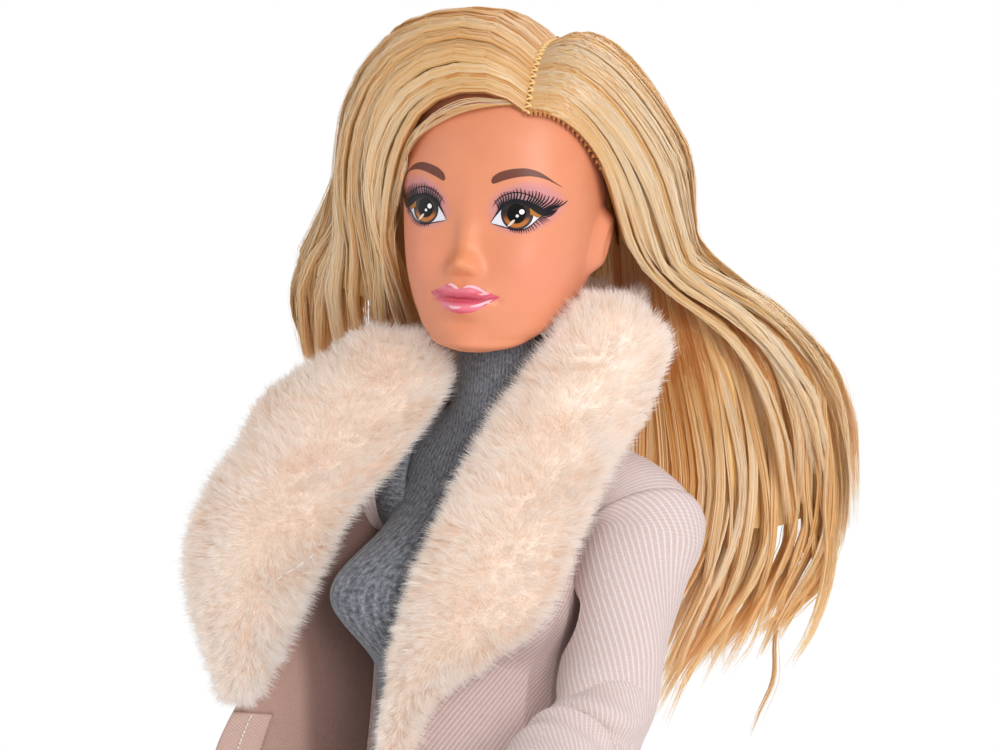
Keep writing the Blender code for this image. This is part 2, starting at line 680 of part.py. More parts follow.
# Foot outline along its length from the heel: half width, height of its top
FOOT_SHARES = (
    (0.00, 0.30, 0.30),
    (0.06, 0.72, 0.62),
    (0.16, 0.86, 1.00),
    (0.30, 0.86, 1.00),
    (0.44, 0.88, 0.72),
    (0.62, 1.00, 0.48),
    (0.80, 0.98, 0.38),
    (0.93, 0.72, 0.30),
    (1.00, 0.28, 0.18),
)
# Sole outline along the foot from the heel: half width
SOLE_SHARES = (
    (0.00, 0.35),
    (0.04, 0.75),
    (0.14, 0.98),
    (0.35, 0.92),
    (0.60, 1.06),
    (0.82, 1.05),
    (0.95, 0.75),
    (1.00, 0.35),
)


def foot_rings(offset, base_offset):
    """Rings across the foot, from the heel to the toes, in the shin's frame below the knee."""
    floor = -SHIN_LENGTH - ANKLE_HEIGHT + base_offset
    rings = []
    for along, width, height in FOOT_SHARES:
        y = FOOT_HEEL_SHARE * FOOT_LENGTH - along * FOOT_LENGTH
        y += offset * (1 - 2 * along)
        half = width * FOOT_HALF_WIDTH + offset
        top = floor + height * ANKLE_HEIGHT + offset - base_offset
        ring = []
        for k in range(10):
            turn = math.tau * k / 10
            rise = (1 - math.cos(turn)) / 2
            ring.append((half * math.sin(turn) * (1 + 0.15 * math.cos(turn)), y, floor + rise * (top - floor)))
        rings.append(ring)
    return rings


def build_leg(side):
    label = SIDES[side]
    hip = Matrix.Translation(hip_place(side))
    frame = joint_frame(f"hip_joint_{label}", None, hip)
    build_hip_disc(side, frame)
    profile = [(r, -h) for r, h in reversed(ball_profile(THIGH_RADIUS, low=0, steps=6))]
    profile += [(THIGH_RADIUS * 0.98, THIGH_LENGTH * 0.2), (THIGH_RADIUS * 0.84, THIGH_LENGTH * 0.6)]
    profile += [(KNEE_RADIUS, THIGH_LENGTH * 0.92)]
    profile += [(r, THIGH_LENGTH - h) for r, h in reversed(ball_profile(KNEE_RADIUS, steps=5, high=0))]
    thigh = limb(f"thigh_{label}", profile, BODY)
    half = KNEE_TONGUE_THICKNESS / 2 + RUNNING_GAP
    reach = THIGH_RADIUS + OVERRUN
    inner, outer = sorted((-side * reach, side * THIGH_RADIUS * 0.5))
    room = block("hip_slot", (inner, -half, -THIGH_RADIUS * 0.5), (outer, half, reach), None)
    combine(thigh, room, "DIFFERENCE")
    hole = rod("spread_pin_hole", (0, -reach, 0), (0, reach, 0), KNEE_PIN_RADIUS + GAP, PIN_SIDES, None)
    combine(thigh, hole, "DIFFERENCE")
    forked_end(thigh, -THIGH_LENGTH, KNEE_RADIUS, KNEE_TONGUE_THICKNESS, KNEE_PIN_RADIUS)
    spread = joint_frame(f"spread_joint_{label}", frame, Matrix.Identity(4))
    hang(thigh, spread, Matrix.Identity(4))
    pin = hinge_pin(f"hip_pin_{label}", THIGH_RADIUS * 0.95, KNEE_PIN_RADIUS)
    hang(pin, frame, Matrix.Rotation(math.pi / 2, 4, "Z"))

    knee = joint_frame(f"knee_joint_{label}", spread, Matrix.Translation((0, 0, -THIGH_LENGTH)))
    start = KNEE_RADIUS + RUNNING_GAP
    profile = [
        (KNEE_RADIUS * 0.92, start),
        (KNEE_RADIUS * 1.02, SHIN_LENGTH * 0.28),
        (KNEE_RADIUS * 0.86, SHIN_LENGTH * 0.55),
        (ANKLE_RADIUS, SHIN_LENGTH * 0.88),
        (ANKLE_RADIUS, SHIN_LENGTH + ANKLE_HEIGHT * 0.4),
    ]
    shin = limb(f"shin_{label}", profile, BODY)
    combine(shin, loft("foot", foot_rings(0, BOOT_WALL + GAP), BODY), "UNION")
    tongued_start(shin, KNEE_RADIUS, KNEE_TONGUE_THICKNESS, KNEE_PIN_RADIUS, start + OVERRUN)
    hang(shin, knee, Matrix.Identity(4))
    pin = hinge_pin(f"knee_pin_{label}", KNEE_RADIUS, KNEE_PIN_RADIUS)
    hang(pin, spread, Matrix.Translation((0, 0, -THIGH_LENGTH)))
    build_boot(side, knee)


def build_hip_disc(side, frame):
    """Axle in the wall between the hips, and the tongue that the thigh spreads on."""
    half = KNEE_TONGUE_THICKNESS / 2
    radius = THIGH_RADIUS * 0.42
    face = -side * (THIGH_RADIUS + RUNNING_GAP * 0.6)
    tip = rod(f"hip_disc_{SIDES[side]}", (0, -half, 0), (0, half, 0), radius, 12, BODY)
    inner, outer = sorted((face - side * GAP, 0))
    strap = block("strap", (inner, -half, -HIP_AXLE_RADIUS * 0.5), (outer, half, HIP_AXLE_RADIUS * 0.5), BODY)
    combine(tip, strap, "UNION")
    end = -side * (HIP_SIDE_SHARE * SHOULDER_HALF - GAP / 2)
    combine(tip, rod("axle", (face, 0, 0), (end, 0, 0), HIP_AXLE_RADIUS, 12, BODY), "UNION")
    hole = rod("pin_hole", (0, -OVERRUN, 0), (0, OVERRUN, 0), KNEE_PIN_RADIUS + GAP, PIN_SIDES, None)
    combine(tip, hole, "DIFFERENCE")
    hang(tip, frame, Matrix.Identity(4))


def build_boot(side, knee):
    label = SIDES[side]
    floor = -SHIN_LENGTH - ANKLE_HEIGHT
    outer = loft(f"boot_{label}", foot_rings(BOOT_WALL + GAP, 0), BOOT)
    inner = loft("foot_room", foot_rings(GAP, BOOT_WALL), None)
    ankle = ANKLE_RADIUS + GAP
    top = floor + ANKLE_HEIGHT + BOOT_SHAFT_RISE
    shaft = rod("shaft", (0, 0, floor + ANKLE_HEIGHT / 2), (0, 0, top), ankle + BOOT_WALL + GAP, 12, BOOT)
    combine(outer, shaft, "UNION")
    combine(outer, inner, "DIFFERENCE")
    room = rod("shaft_room", (0, 0, floor + ANKLE_HEIGHT / 2), (0, 0, top + OVERRUN), ankle, 12, None)
    combine(outer, room, "DIFFERENCE")
    hang(outer, knee, Matrix.Identity(4))
    ring = []
    for along, width in SOLE_SHARES:
        y = FOOT_HEEL_SHARE * FOOT_LENGTH - along * FOOT_LENGTH + (1 - 2 * along) * (2 * BOOT_WALL + GAP)
        ring.append((width * (FOOT_HALF_WIDTH + BOOT_WALL + GAP), y))
    ring += [(-x, y) for x, y in reversed(ring)]
    rings = [[(x, y, z) for x, y in ring] for z in (floor - SOLE_THICKNESS, floor - GAP)]
    sole = loft(f"boot_sole_{label}", rings, RUBBER)
    hang(sole, knee, Matrix.Identity(4))


# Knitted sweater and trousers
SWEATER_LOW_SHARE = 0.36
YOKE_LOW_SHARE = 0.02
TURTLENECK_RISE_SHARE = 1.004
TURTLENECK_GAP = 0.0006
TURTLENECK_WALL = 0.0009
TURTLENECK_COLUMNS = 16
LEG_CLOTH = 0.0006


def cut_arms(thing, radius, start):
    """Cuts both armholes, which are round the shoulder axle."""
    for side in SIDES:
        near = (side * start, NECK_Y, SHOULDER_Z)
        far = (side * (SHOULDER_HALF * 2), NECK_Y, SHOULDER_Z)
        combine(thing, rod("armhole", near, far, radius, 20, None), "DIFFERENCE")
    return thing


def trunk_tube(name, low, high, inside, thickness, material):
    shares, turns = trunk_levels(low, high), trunk_turns()
    inner = [[trunk_point(share, turn, inside) for turn in turns] for share in shares]
    outer = [[trunk_point(share, turn, inside + thickness) for turn in turns] for share in shares]
    return slab(name, inner, outer, material, wrap=True)


def build_sweater():
    top = NECK_BASE_LEVEL_SHARE
    body = trunk_tube("sweater_body", SWEATER_LOW_SHARE, top, JERSEY_INSIDE, JERSEY, KNIT)
    cut_arms(body, SHOULDER_DISC_RADIUS + 2 * GAP, SHOULDER_HALF / 2)
    low, high = level(top) + GAP, level(TURTLENECK_RISE_SHARE) - NECK_CUFF_DROP
    turns = [math.tau * k / TURTLENECK_COLUMNS for k in range(TURTLENECK_COLUMNS)]
    grids = []
    for radius in (NECK_RADIUS + TURTLENECK_GAP, NECK_RADIUS + TURTLENECK_GAP + TURTLENECK_WALL):
        circle = [(radius * math.sin(t), NECK_Y - radius * math.cos(t)) for t in turns]
        grids.append([[(x, y, z) for x, y in circle] for z in levels(low, high, 4)])
    slab("sweater_turtleneck", *grids, KNIT, wrap=True)


def limb_tube(name, stations, thickness, columns, material):
    """A tube of cloth round a limb along -Z from (inside radius, distance below the joint) pairs."""
    turns = [math.tau * k / columns for k in range(columns)]
    inner = [[(r * math.cos(t), r * math.sin(t), -down) for t in turns] for r, down in stations]
    outer = [[((r + thickness) * math.cos(t), (r + thickness) * math.sin(t), -down) for t in turns]
             for r, down in stations]
    return slab(name, inner, outer, material, wrap=True)


def build_trousers():
    yoke_high = SWEATER_LOW_SHARE - GAP / TRUNK_LENGTH
    yoke = trunk_tube("trouser_yoke", YOKE_LOW_SHARE, yoke_high, JERSEY_INSIDE, LEG_CLOTH, TROUSER)
    inside = THIGH_RADIUS + GAP
    for side, label in SIDES.items():
        combine(yoke, hip_clearance(side, inside + LEG_CLOTH + RUNNING_GAP), "DIFFERENCE")
        spread = bpy.data.objects[f"spread_joint_{label}"]
        knee = bpy.data.objects[f"knee_joint_{label}"]
        stations = [(inside, THIGH_RADIUS * 0.75), (THIGH_RADIUS * 0.98 + GAP, THIGH_LENGTH * 0.2)]
        stations += [(THIGH_RADIUS * 0.86 + GAP, THIGH_LENGTH * 0.6)]
        stations += [(KNEE_RADIUS + 2 * GAP, down) for down in (THIGH_LENGTH * 0.9, THIGH_LENGTH)]
        leg = limb_tube(f"trouser_thigh_{label}", stations, LEG_CLOTH, 12, TROUSER)
        hang(leg, spread, Matrix.Identity(4))
        stations = [(KNEE_RADIUS + 2 * GAP, GAP), (KNEE_RADIUS * 1.02 + 2 * GAP, SHIN_LENGTH * 0.28)]
        stations += [(KNEE_RADIUS * 0.9 + GAP, SHIN_LENGTH * 0.55)]
        stations += [(ANKLE_RADIUS + BOOT_WALL + 4 * GAP, SHIN_LENGTH * 0.86)]
        shin = limb_tube(f"trouser_shin_{label}", stations, LEG_CLOTH, 12, TROUSER)
        hang(shin, knee, Matrix.Identity(4))


# Coat
ARMHOLE_RADIUS = 0.0074
COAT_LOW_SHARE = -0.03
COAT_HIGH_SHARE = 0.935
COAT_ROWS = 14
SEAM_ANGLE = math.radians(92)
# Front edge of the left front: level, angle across the centre of the chest
LEFT_EDGE_ANGLES = ((-0.05, -14), (0.20, -14), (0.42, -15), (0.64, -9), (0.78, -4), (0.87, 6), (0.94, 22))
# Right front in plan, from the side seam to its thrown-open edge: level, then x and y of four points
RIGHT_FRONT_SHARES = (
    (-0.05, -1.16, -0.02, -1.36, -0.30, -1.62, -0.50, -1.98, -0.56),
    (0.20, -0.98, -0.12, -1.20, -0.36, -1.52, -0.56, -1.86, -0.62),
    (0.42, -0.80, -0.26, -1.00, -0.46, -1.32, -0.60, -1.66, -0.66),
    (0.50, -0.78, -0.26, -0.95, -0.46, -1.20, -0.60, -1.46, -0.66),
    (0.58, -0.80, -0.22, -0.92, -0.50, -1.05, -0.66, -1.18, -0.72),
    (0.67, -0.82, -0.14, -0.98, -0.50, -0.98, -0.66, -0.95, -0.76),
    (0.76, -0.86, -0.06, -0.94, -0.44, -0.90, -0.64, -0.78, -0.80),
    (0.84, -0.86, 0.02, -0.80, -0.30, -0.66, -0.46, -0.52, -0.56),
    (0.875, -0.76, 0.04, -0.68, -0.22, -0.54, -0.34, -0.40, -0.42),
    (0.905, -0.58, 0.05, -0.54, -0.16, -0.44, -0.28, -0.32, -0.34),
    (0.940, -0.44, 0.05, -0.42, -0.12, -0.36, -0.22, -0.27, -0.28),
)


def levels(low, high, rows):
    return [low + (high - low) * row / (rows - 1) for row in range(rows)]


def coat_panel(name, spans, columns):
    """A panel of the coat between two angles at each level."""
    inner, outer = [], []
    for share in trunk_levels(COAT_LOW_SHARE, COAT_HIGH_SHARE):
        start, end = spans(share)
        turns = [start + (end - start) * k / (columns - 1) for k in range(columns)]
        inner.append([coat_point(share, turn, 0) for turn in turns])
        outer.append([coat_point(share, turn, CLOTH) for turn in turns])
    return slab(name, inner, outer, COAT)


def plan_curve(row, steps):
    """Points and outward directions along a cubic curve of four plan points."""
    corners = np.array(row, float).reshape(4, 2)
    points, normals = [], []
    for k in range(steps):
        t = k / (steps - 1)
        weights = ((1 - t) ** 3, 3 * t * (1 - t) ** 2, 3 * t * t * (1 - t), t**3)
        slopes = (-((1 - t) ** 2), (1 - t) ** 2 - 2 * t * (1 - t), 2 * t * (1 - t) - t * t, t * t)
        points.append(np.dot(weights, corners))
        x, y = np.dot(slopes, corners)
        normals.append(np.array([y, -x]) / math.hypot(x, y))
    return points, normals


def curtain(name, table, low, high, rows, columns, thickness, material, outward=1):
    """A closed sheet hung on plan curves and thickened to one side."""
    inner, outer = [], []
    for share in levels(low, high, rows):
        points, normals = plan_curve(curve(share, table), columns)
        plan = [SHOULDER_HALF * p for p in points]
        inner.append([(*p, level(share)) for p in plan])
        outer.append([(*(p + outward * thickness * n), level(share)) for p, n in zip(plan, normals)])
    return slab(name, inner, outer, material)


def build_coat():
    seam = GAP / SHOULDER_HALF
    back = coat_panel("coat_back", lambda share: (SEAM_ANGLE + seam, math.tau - SEAM_ANGLE - seam), 21)

    def left_span(share):
        return math.radians(curve(share, LEFT_EDGE_ANGLES)[0]), SEAM_ANGLE - seam

    left = coat_panel("coat_front_left", left_span, 12)
    right = curtain(
        "coat_front_right", RIGHT_FRONT_SHARES, COAT_LOW_SHARE, COAT_HIGH_SHARE, COAT_ROWS, 8, CLOTH, COAT, -1
    )
    for panel in (back, left, right):
        cut_arms(panel, ARMHOLE_RADIUS, SHOULDER_HALF * 0.66)


# Sleeves
SLEEVE_TOP_RADIUS = ARMHOLE_RADIUS - GAP
SLEEVE_ARM_RADIUS = 0.0061
SLEEVE_CUFF_RADIUS = 0.0050
CREASE_GAP = 0.0006
SLEEVE_COLUMNS = 12
SLEEVE_SPLIT_SHARE = 0.52
CUFF_SHARE = 0.93


def ring(centre, along, inside, radius, columns):
    """Points of a circle square to a direction, counted from its inside."""
    across = along.cross(inside)
    turns = [math.tau * k / columns for k in range(columns)]
    return [centre + radius * (math.cos(t) * inside + math.sin(t) * across) for t in turns]


def bend(centre, along, inside, turn, radius, end_radius, steps):
    """Stations of a tube that turns round a crease just past its inside."""
    crease = centre + inside * (radius + CREASE_GAP)
    stations = []
    for k in range(1, steps + 1):
        part = turn * k / steps
        wide = radius + (end_radius - radius) * k / steps
        new_along = math.cos(part) * along + math.sin(part) * inside
        new_inside = math.cos(part) * inside - math.sin(part) * along
        stations.append((crease - new_inside * (wide + CREASE_GAP), new_along, new_inside, wide))
    return stations


def sleeve_stations(side):
    """The whole sleeve's stations from the armhole to the cuff, and the number in its upper half."""
    outward = Vector((side, 0, 0))
    down = Vector((0, -math.sin(ARM_SWING[side]), -math.cos(ARM_SWING[side])))
    start = Vector((side * ARMHOLE_SIDE_SHARE * SHOULDER_HALF, NECK_Y, SHOULDER_Z))
    stations = [(start, outward, down, SLEEVE_TOP_RADIUS)]
    fall = math.pi / 2 - ARM_RAISE[side]
    stations += bend(start, outward, down, fall, SLEEVE_TOP_RADIUS, SLEEVE_ARM_RADIUS, 5)
    centre, along, inside, radius = stations[-1]
    elbow_run = (SLEEVE_ARM_RADIUS + CREASE_GAP) * math.tan(ELBOW_BEND[side] / 2)
    fallen = (centre - start).dot(along)
    run = UPPER_ARM_LENGTH - fallen - elbow_run
    forward = Vector((0, -1, 0))
    front = (forward - forward.dot(along) * along).normalized()
    split = centre + along * run * SLEEVE_SPLIT_SHARE
    stations.append((split - along * GAP / 2, along, inside, radius))
    upper = len(stations)
    stations.append((split + along * GAP / 2, along, front, radius))
    elbow = centre + along * run
    stations.append((elbow, along, front, radius))
    stations += bend(elbow, along, front, ELBOW_BEND[side], radius, radius, 3)
    centre, along, front, radius = stations[-1]
    length = FOREARM_LENGTH * CUFF_SHARE - elbow_run
    for part in (0.5, 1.0):
        wide = radius + (SLEEVE_CUFF_RADIUS - radius) * part
        stations.append((centre + along * length * part, along, front, wide))
    return stations, upper


def build_sleeve(side):
    stations, upper = sleeve_stations(side)
    for name, part in (("sleeve_upper", stations[:upper]), ("sleeve_lower", stations[upper:])):
        outer = [ring(c, a, i, r, SLEEVE_COLUMNS) for c, a, i, r in part]
        inner = [ring(c, a, i, r - CLOTH, SLEEVE_COLUMNS) for c, a, i, r in part]
        slab(f"{name}_{SIDES[side]}", inner, outer, COAT, wrap=True)


# Fur collar in plan: level, then x and y of four points from the roll line to the outer edge
LEFT_LAPEL_SHARES = (
    (0.400, -0.28, -1.14, -0.14, -1.15, 0.00, -1.14, 0.14, -1.12),
    (0.530, -0.24, -1.12, 0.00, -1.16, 0.20, -1.13, 0.44, -1.06),
    (0.650, -0.16, -1.05, 0.12, -1.12, 0.50, -1.18, 0.80, -0.93),
    (0.750, -0.06, -0.86, 0.25, -0.92, 0.62, -0.84, 0.88, -0.62),
    (0.830, 0.02, -0.62, 0.35, -0.62, 0.72, -0.56, 0.98, -0.44),
    (0.900, 0.10, -0.48, 0.42, -0.50, 0.82, -0.38, 1.06, -0.04),
    (0.960, 0.22, -0.40, 0.50, -0.44, 0.92, -0.28, 1.14, 0.08),
    (1.020, 0.42, -0.36, 0.64, -0.38, 0.92, -0.20, 1.08, 0.12),
    (1.075, 0.58, -0.24, 0.70, -0.20, 0.84, -0.10, 0.94, 0.08),
)
RIGHT_LAPEL_SHARES = (
    (0.480, -1.46, -0.72, -1.52, -0.73, -1.58, -0.73, -1.64, -0.73),
    (0.560, -1.24, -0.77, -1.40, -0.82, -1.60, -0.83, -1.76, -0.81),
    (0.670, -0.98, -0.83, -1.28, -0.92, -1.62, -0.92, -1.86, -0.85),
    (0.760, -0.80, -0.87, -1.15, -0.95, -1.52, -0.88, -1.80, -0.73),
    (0.830, -0.56, -0.66, -0.95, -0.76, -1.36, -0.70, -1.66, -0.54),
    (0.895, -0.38, -0.48, -0.80, -0.60, -1.30, -0.52, -1.60, -0.24),
    (0.955, -0.26, -0.42, -0.60, -0.48, -0.95, -0.40, -1.20, -0.20),
    (1.010, -0.40, -0.38, -0.55, -0.38, -0.72, -0.34, -0.86, -0.22),
)
COLLAR_BACK_SHARES = (
    (0.945, -0.50, 0.10, -0.58, 0.62, 0.58, 0.62, 0.50, 0.10),
    (0.985, -0.62, 0.12, -0.72, 0.84, 0.76, 0.88, 0.70, 0.22),
    (1.030, -0.76, 0.12, -0.82, 0.98, 0.90, 1.04, 0.84, 0.34),
    (1.080, -0.78, 0.14, -0.82, 1.02, 0.92, 1.10, 0.92, 0.38),
)
LAPEL_ROWS = 11


def build_collar():
    for name, table, outward in (
        ("lapel_left", LEFT_LAPEL_SHARES, 1),
        ("lapel_right", RIGHT_LAPEL_SHARES, -1),
        ("collar_back", COLLAR_BACK_SHARES, -1),
    ):
        curtain(name, table, table[0][0], table[-1][0], LAPEL_ROWS, 8, FUR, PILE, outward)


# Hair
CROWN_COLUMNS = 26
CROWN_ROWS = 7
HAIR_GAP = 0.0004
# Lowest edge of the crown by angle from the nose to the doll's left: share of the head's height
CROWN_RIM_SHARES = (
    (-180, 0.50), (-120, 0.51), (-85, 0.58), (-55, 0.70), (-25, 0.79), (0, 0.80), (25, 0.77),
    (50, 0.70), (75, 0.58), (95, 0.53), (130, 0.51), (180, 0.50),
)
# Thickness of the crown at its rim by angle
CROWN_THICKNESS_SHARES = (
    (-180, 0.34), (-120, 0.44), (-85, 0.50), (-55, 0.34), (-25, 0.14), (0, 0.10), (25, 0.10),
    (50, 0.16), (75, 0.28), (110, 0.34), (150, 0.34), (180, 0.34),
)
CROWN_PEAK = 0.0034
# Lengths in plan: level, then x and y of four points
HAIR_BACK_SHARES = (
    (0.64, -0.66, 1.36, -0.10, 1.72, 0.60, 1.90, 1.36, 1.96),
    (0.80, -0.88, 1.30, -0.30, 1.66, 0.50, 1.86, 1.26, 1.90),
    (1.00, -1.00, 1.14, -0.46, 1.46, 0.40, 1.60, 1.06, 1.62),
    (1.08, -1.00, 1.00, -0.52, 1.34, 0.42, 1.42, 1.00, 1.34),
    (1.14, -0.94, 0.82, -0.50, 1.10, 0.40, 1.14, 0.92, 1.02),
    (1.185, -0.84, 0.66, -0.46, 0.88, 0.36, 0.92, 0.82, 0.80),
)
HAIR_LEFT_SHARES = (
    (0.52, 0.92, 1.42, 1.08, 1.44, 1.22, 1.46, 1.36, 1.50),
    (0.66, 1.36, 1.30, 1.50, 1.38, 1.66, 1.50, 1.80, 1.66),
    (0.80, 1.50, 1.16, 1.62, 1.28, 1.72, 1.46, 1.80, 1.66),
    (0.94, 1.48, 0.94, 1.52, 1.06, 1.56, 1.28, 1.52, 1.48),
    (1.03, 1.34, 0.70, 1.34, 0.84, 1.30, 1.06, 1.20, 1.24),
    (1.12, 1.08, 0.30, 1.14, 0.50, 1.14, 0.74, 1.08, 0.98),
    (1.185, 0.86, 0.02, 0.96, 0.26, 0.96, 0.54, 0.86, 0.78),
)
HAIR_RIGHT_SHARES = (
    (0.92, -1.30, 0.24, -1.34, 0.46, -1.30, 0.72, -1.20, 0.94),
    (1.02, -1.42, 0.10, -1.46, 0.36, -1.38, 0.66, -1.22, 0.90),
    (1.09, -1.22, -0.06, -1.28, 0.20, -1.22, 0.52, -1.08, 0.76),
    (1.14, -1.02, -0.14, -1.08, 0.14, -1.04, 0.42, -0.94, 0.64),
    (1.185, -0.88, -0.16, -0.92, 0.08, -0.92, 0.34, -0.84, 0.54),
)
HAIR_THICKNESS = 0.0045
ROOT_DROP_SHARE = 0.010


def crown_rim(turn):
    """The level of the crown's rim and its thickness there."""
    degrees = math.degrees(math.remainder(turn, math.tau))
    return curve(degrees, CROWN_RIM_SHARES)[0], HEAD_HALF_WIDTH * curve(degrees, CROWN_THICKNESS_SHARES)[0]


def crown_edge(turn, drop, outside):
    rim, edge = crown_rim(turn)
    return head_point(rim - drop, turn, HAIR_GAP + (edge if outside else 0))


def crown_point(share_up, turn, outside):
    """The crown's inside or outside between its rim (0) and the top of the head (1)."""
    rim, edge = crown_rim(turn)
    share = rim + (HEAD_TOP_ROW_SHARE - rim) * (1 - (1 - share_up) ** 2)
    offset = HAIR_GAP
    if outside:
        offset += edge + (CROWN_PEAK - edge) * share_up**2
    x, y, z = head_point(share, turn, offset)
    return (x, y, z + offset * share_up**3)


def length_of_hair(name, table, first, last, rows, columns):
    """A lock that leaves the scalp under the crown's rim, between two angles, and falls on plan curves."""
    inner, outer = [], []
    for share in levels(table[0][0], table[-1][0], rows):
        points, normals = plan_curve(curve(share, table), columns)
        if last > first:
            normals = [-n for n in normals]
        plan = [SHOULDER_HALF * p for p in points]
        inner.append([(*p, level(share)) for p in plan])
        outer.append([(*(p - HAIR_THICKNESS * n), level(share)) for p, n in zip(plan, normals)])
    for row, outside in ((inner, False), (outer, True)):
        turns = [math.radians(degrees) for degrees in levels(first, last, columns)]
        row.append([crown_edge(turn, ROOT_DROP_SHARE, outside) for turn in turns])
    return slab(name, inner, outer, HAIR)


def build_hair(frame):
    turns = [math.tau * k / CROWN_COLUMNS for k in range(CROWN_COLUMNS)]
    ups = [row / (CROWN_ROWS - 1) for row in range(CROWN_ROWS)]
    grids = [[[crown_point(up, turn, outside) for turn in turns] for up in ups] for outside in (False, True)]
    pieces = [
        slab("hair_crown", *grids, HAIR, wrap=True, dome=True),
        length_of_hair("hair_back", HAIR_BACK_SHARES, -128, -228, 9, 8),
        length_of_hair("hair_left", HAIR_LEFT_SHARES, 84, 128, 9, 6),
        length_of_hair("hair_right", HAIR_RIGHT_SHARES, -84, -124, 7, 6),
    ]
    joint = Matrix.Translation((0, NECK_Y, level(NECK_AXLE_LEVEL_SHARE)))
    for piece in pieces:
        settle(piece, joint.inverted())
        hang(piece, frame, Matrix.Identity(4))


HEAD_FRAME = build_neck()
build_head(HEAD_FRAME)
build_trunk()
for arm_side in SIDES:
    build_arm(arm_side)
    build_leg(arm_side)
build_sweater()
build_trousers()
build_coat()
for arm_side in SIDES:
    build_sleeve(arm_side)
build_collar()
build_hair(HEAD_FRAME)

# The frame's origin is under the middle of the doll's whole width and depth
for thing in bpy.data.objects:
    if thing.parent is None:
        thing.location += Vector((MIDDLE_X, MIDDLE_Y, 0))
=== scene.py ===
"""Fashion doll, 290 mm tall, in a jersey turtleneck and an open twill coat with a cream fur shawl collar."""

import math

import bmesh
import bpy
import numpy as np
from mathutils import Matrix, Vector


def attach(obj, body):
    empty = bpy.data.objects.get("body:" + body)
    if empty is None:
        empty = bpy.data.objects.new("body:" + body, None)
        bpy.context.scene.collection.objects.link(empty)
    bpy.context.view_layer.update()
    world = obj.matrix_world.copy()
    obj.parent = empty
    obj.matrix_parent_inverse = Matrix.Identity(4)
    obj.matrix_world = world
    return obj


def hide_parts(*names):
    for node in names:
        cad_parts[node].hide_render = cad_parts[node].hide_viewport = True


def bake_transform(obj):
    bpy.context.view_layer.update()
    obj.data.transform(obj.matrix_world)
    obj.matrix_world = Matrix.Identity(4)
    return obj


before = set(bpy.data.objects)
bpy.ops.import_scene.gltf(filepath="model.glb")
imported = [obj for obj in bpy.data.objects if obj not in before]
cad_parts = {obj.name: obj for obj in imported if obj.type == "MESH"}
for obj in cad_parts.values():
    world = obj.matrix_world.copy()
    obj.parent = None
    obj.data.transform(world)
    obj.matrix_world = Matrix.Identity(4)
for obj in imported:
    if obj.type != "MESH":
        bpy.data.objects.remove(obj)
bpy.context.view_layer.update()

MM = 0.001
# The doll's centre line stands here in the frame; it faces -Y and its left side is +X
CENTRE = np.array((-0.8, 12.2, 0)) * MM


# Camera: a long lens at the doll's left front, a little above its eyes and held slightly turned, so that the
# head leans to the left of the picture and the picture ends at the waist.
AZIMUTH, ELEVATION, ROLL = math.radians(23), math.radians(4.5), math.radians(2)
AIM = CENTRE + np.array((0, -2, 261)) * MM
DISTANCE = 600 * MM
AIM_PIXEL = (503, 232)
PICTURE = (1000, 750)
FOCAL_PIXELS = 4560
SENSOR = 36

ahead = np.array((
    -math.sin(AZIMUTH) * math.cos(ELEVATION),
    math.cos(AZIMUTH) * math.cos(ELEVATION),
    -math.sin(ELEVATION),
))
level_right = np.array((math.cos(AZIMUTH), math.sin(AZIMUTH), 0))
level_up = np.cross(level_right, ahead)
right = math.cos(ROLL) * level_right + math.sin(ROLL) * level_up
up = math.cos(ROLL) * level_up - math.sin(ROLL) * level_right
off_right, off_down = PICTURE[0] / 2 - AIM_PIXEL[0], PICTURE[1] / 2 - AIM_PIXEL[1]
gaze = FOCAL_PIXELS * ahead + off_right * right - off_down * up
gaze /= np.linalg.norm(gaze)
gaze_up = up - up.dot(gaze) * gaze
gaze_up /= np.linalg.norm(gaze_up)
place = np.eye(4)
place[:3] = np.column_stack([np.cross(gaze, gaze_up), gaze_up, -gaze, AIM - DISTANCE * ahead])
lens = bpy.data.cameras.new("camera")
lens.sensor_width = SENSOR
lens.lens = SENSOR * FOCAL_PIXELS / PICTURE[0]
lens.clip_start = 10 * MM
camera = bpy.data.objects.new("camera", lens)
bpy.context.collection.objects.link(camera)
camera.matrix_world = Matrix(place.tolist())
bpy.context.scene.camera = camera
bpy.context.scene.view_settings.view_transform = "Standard"


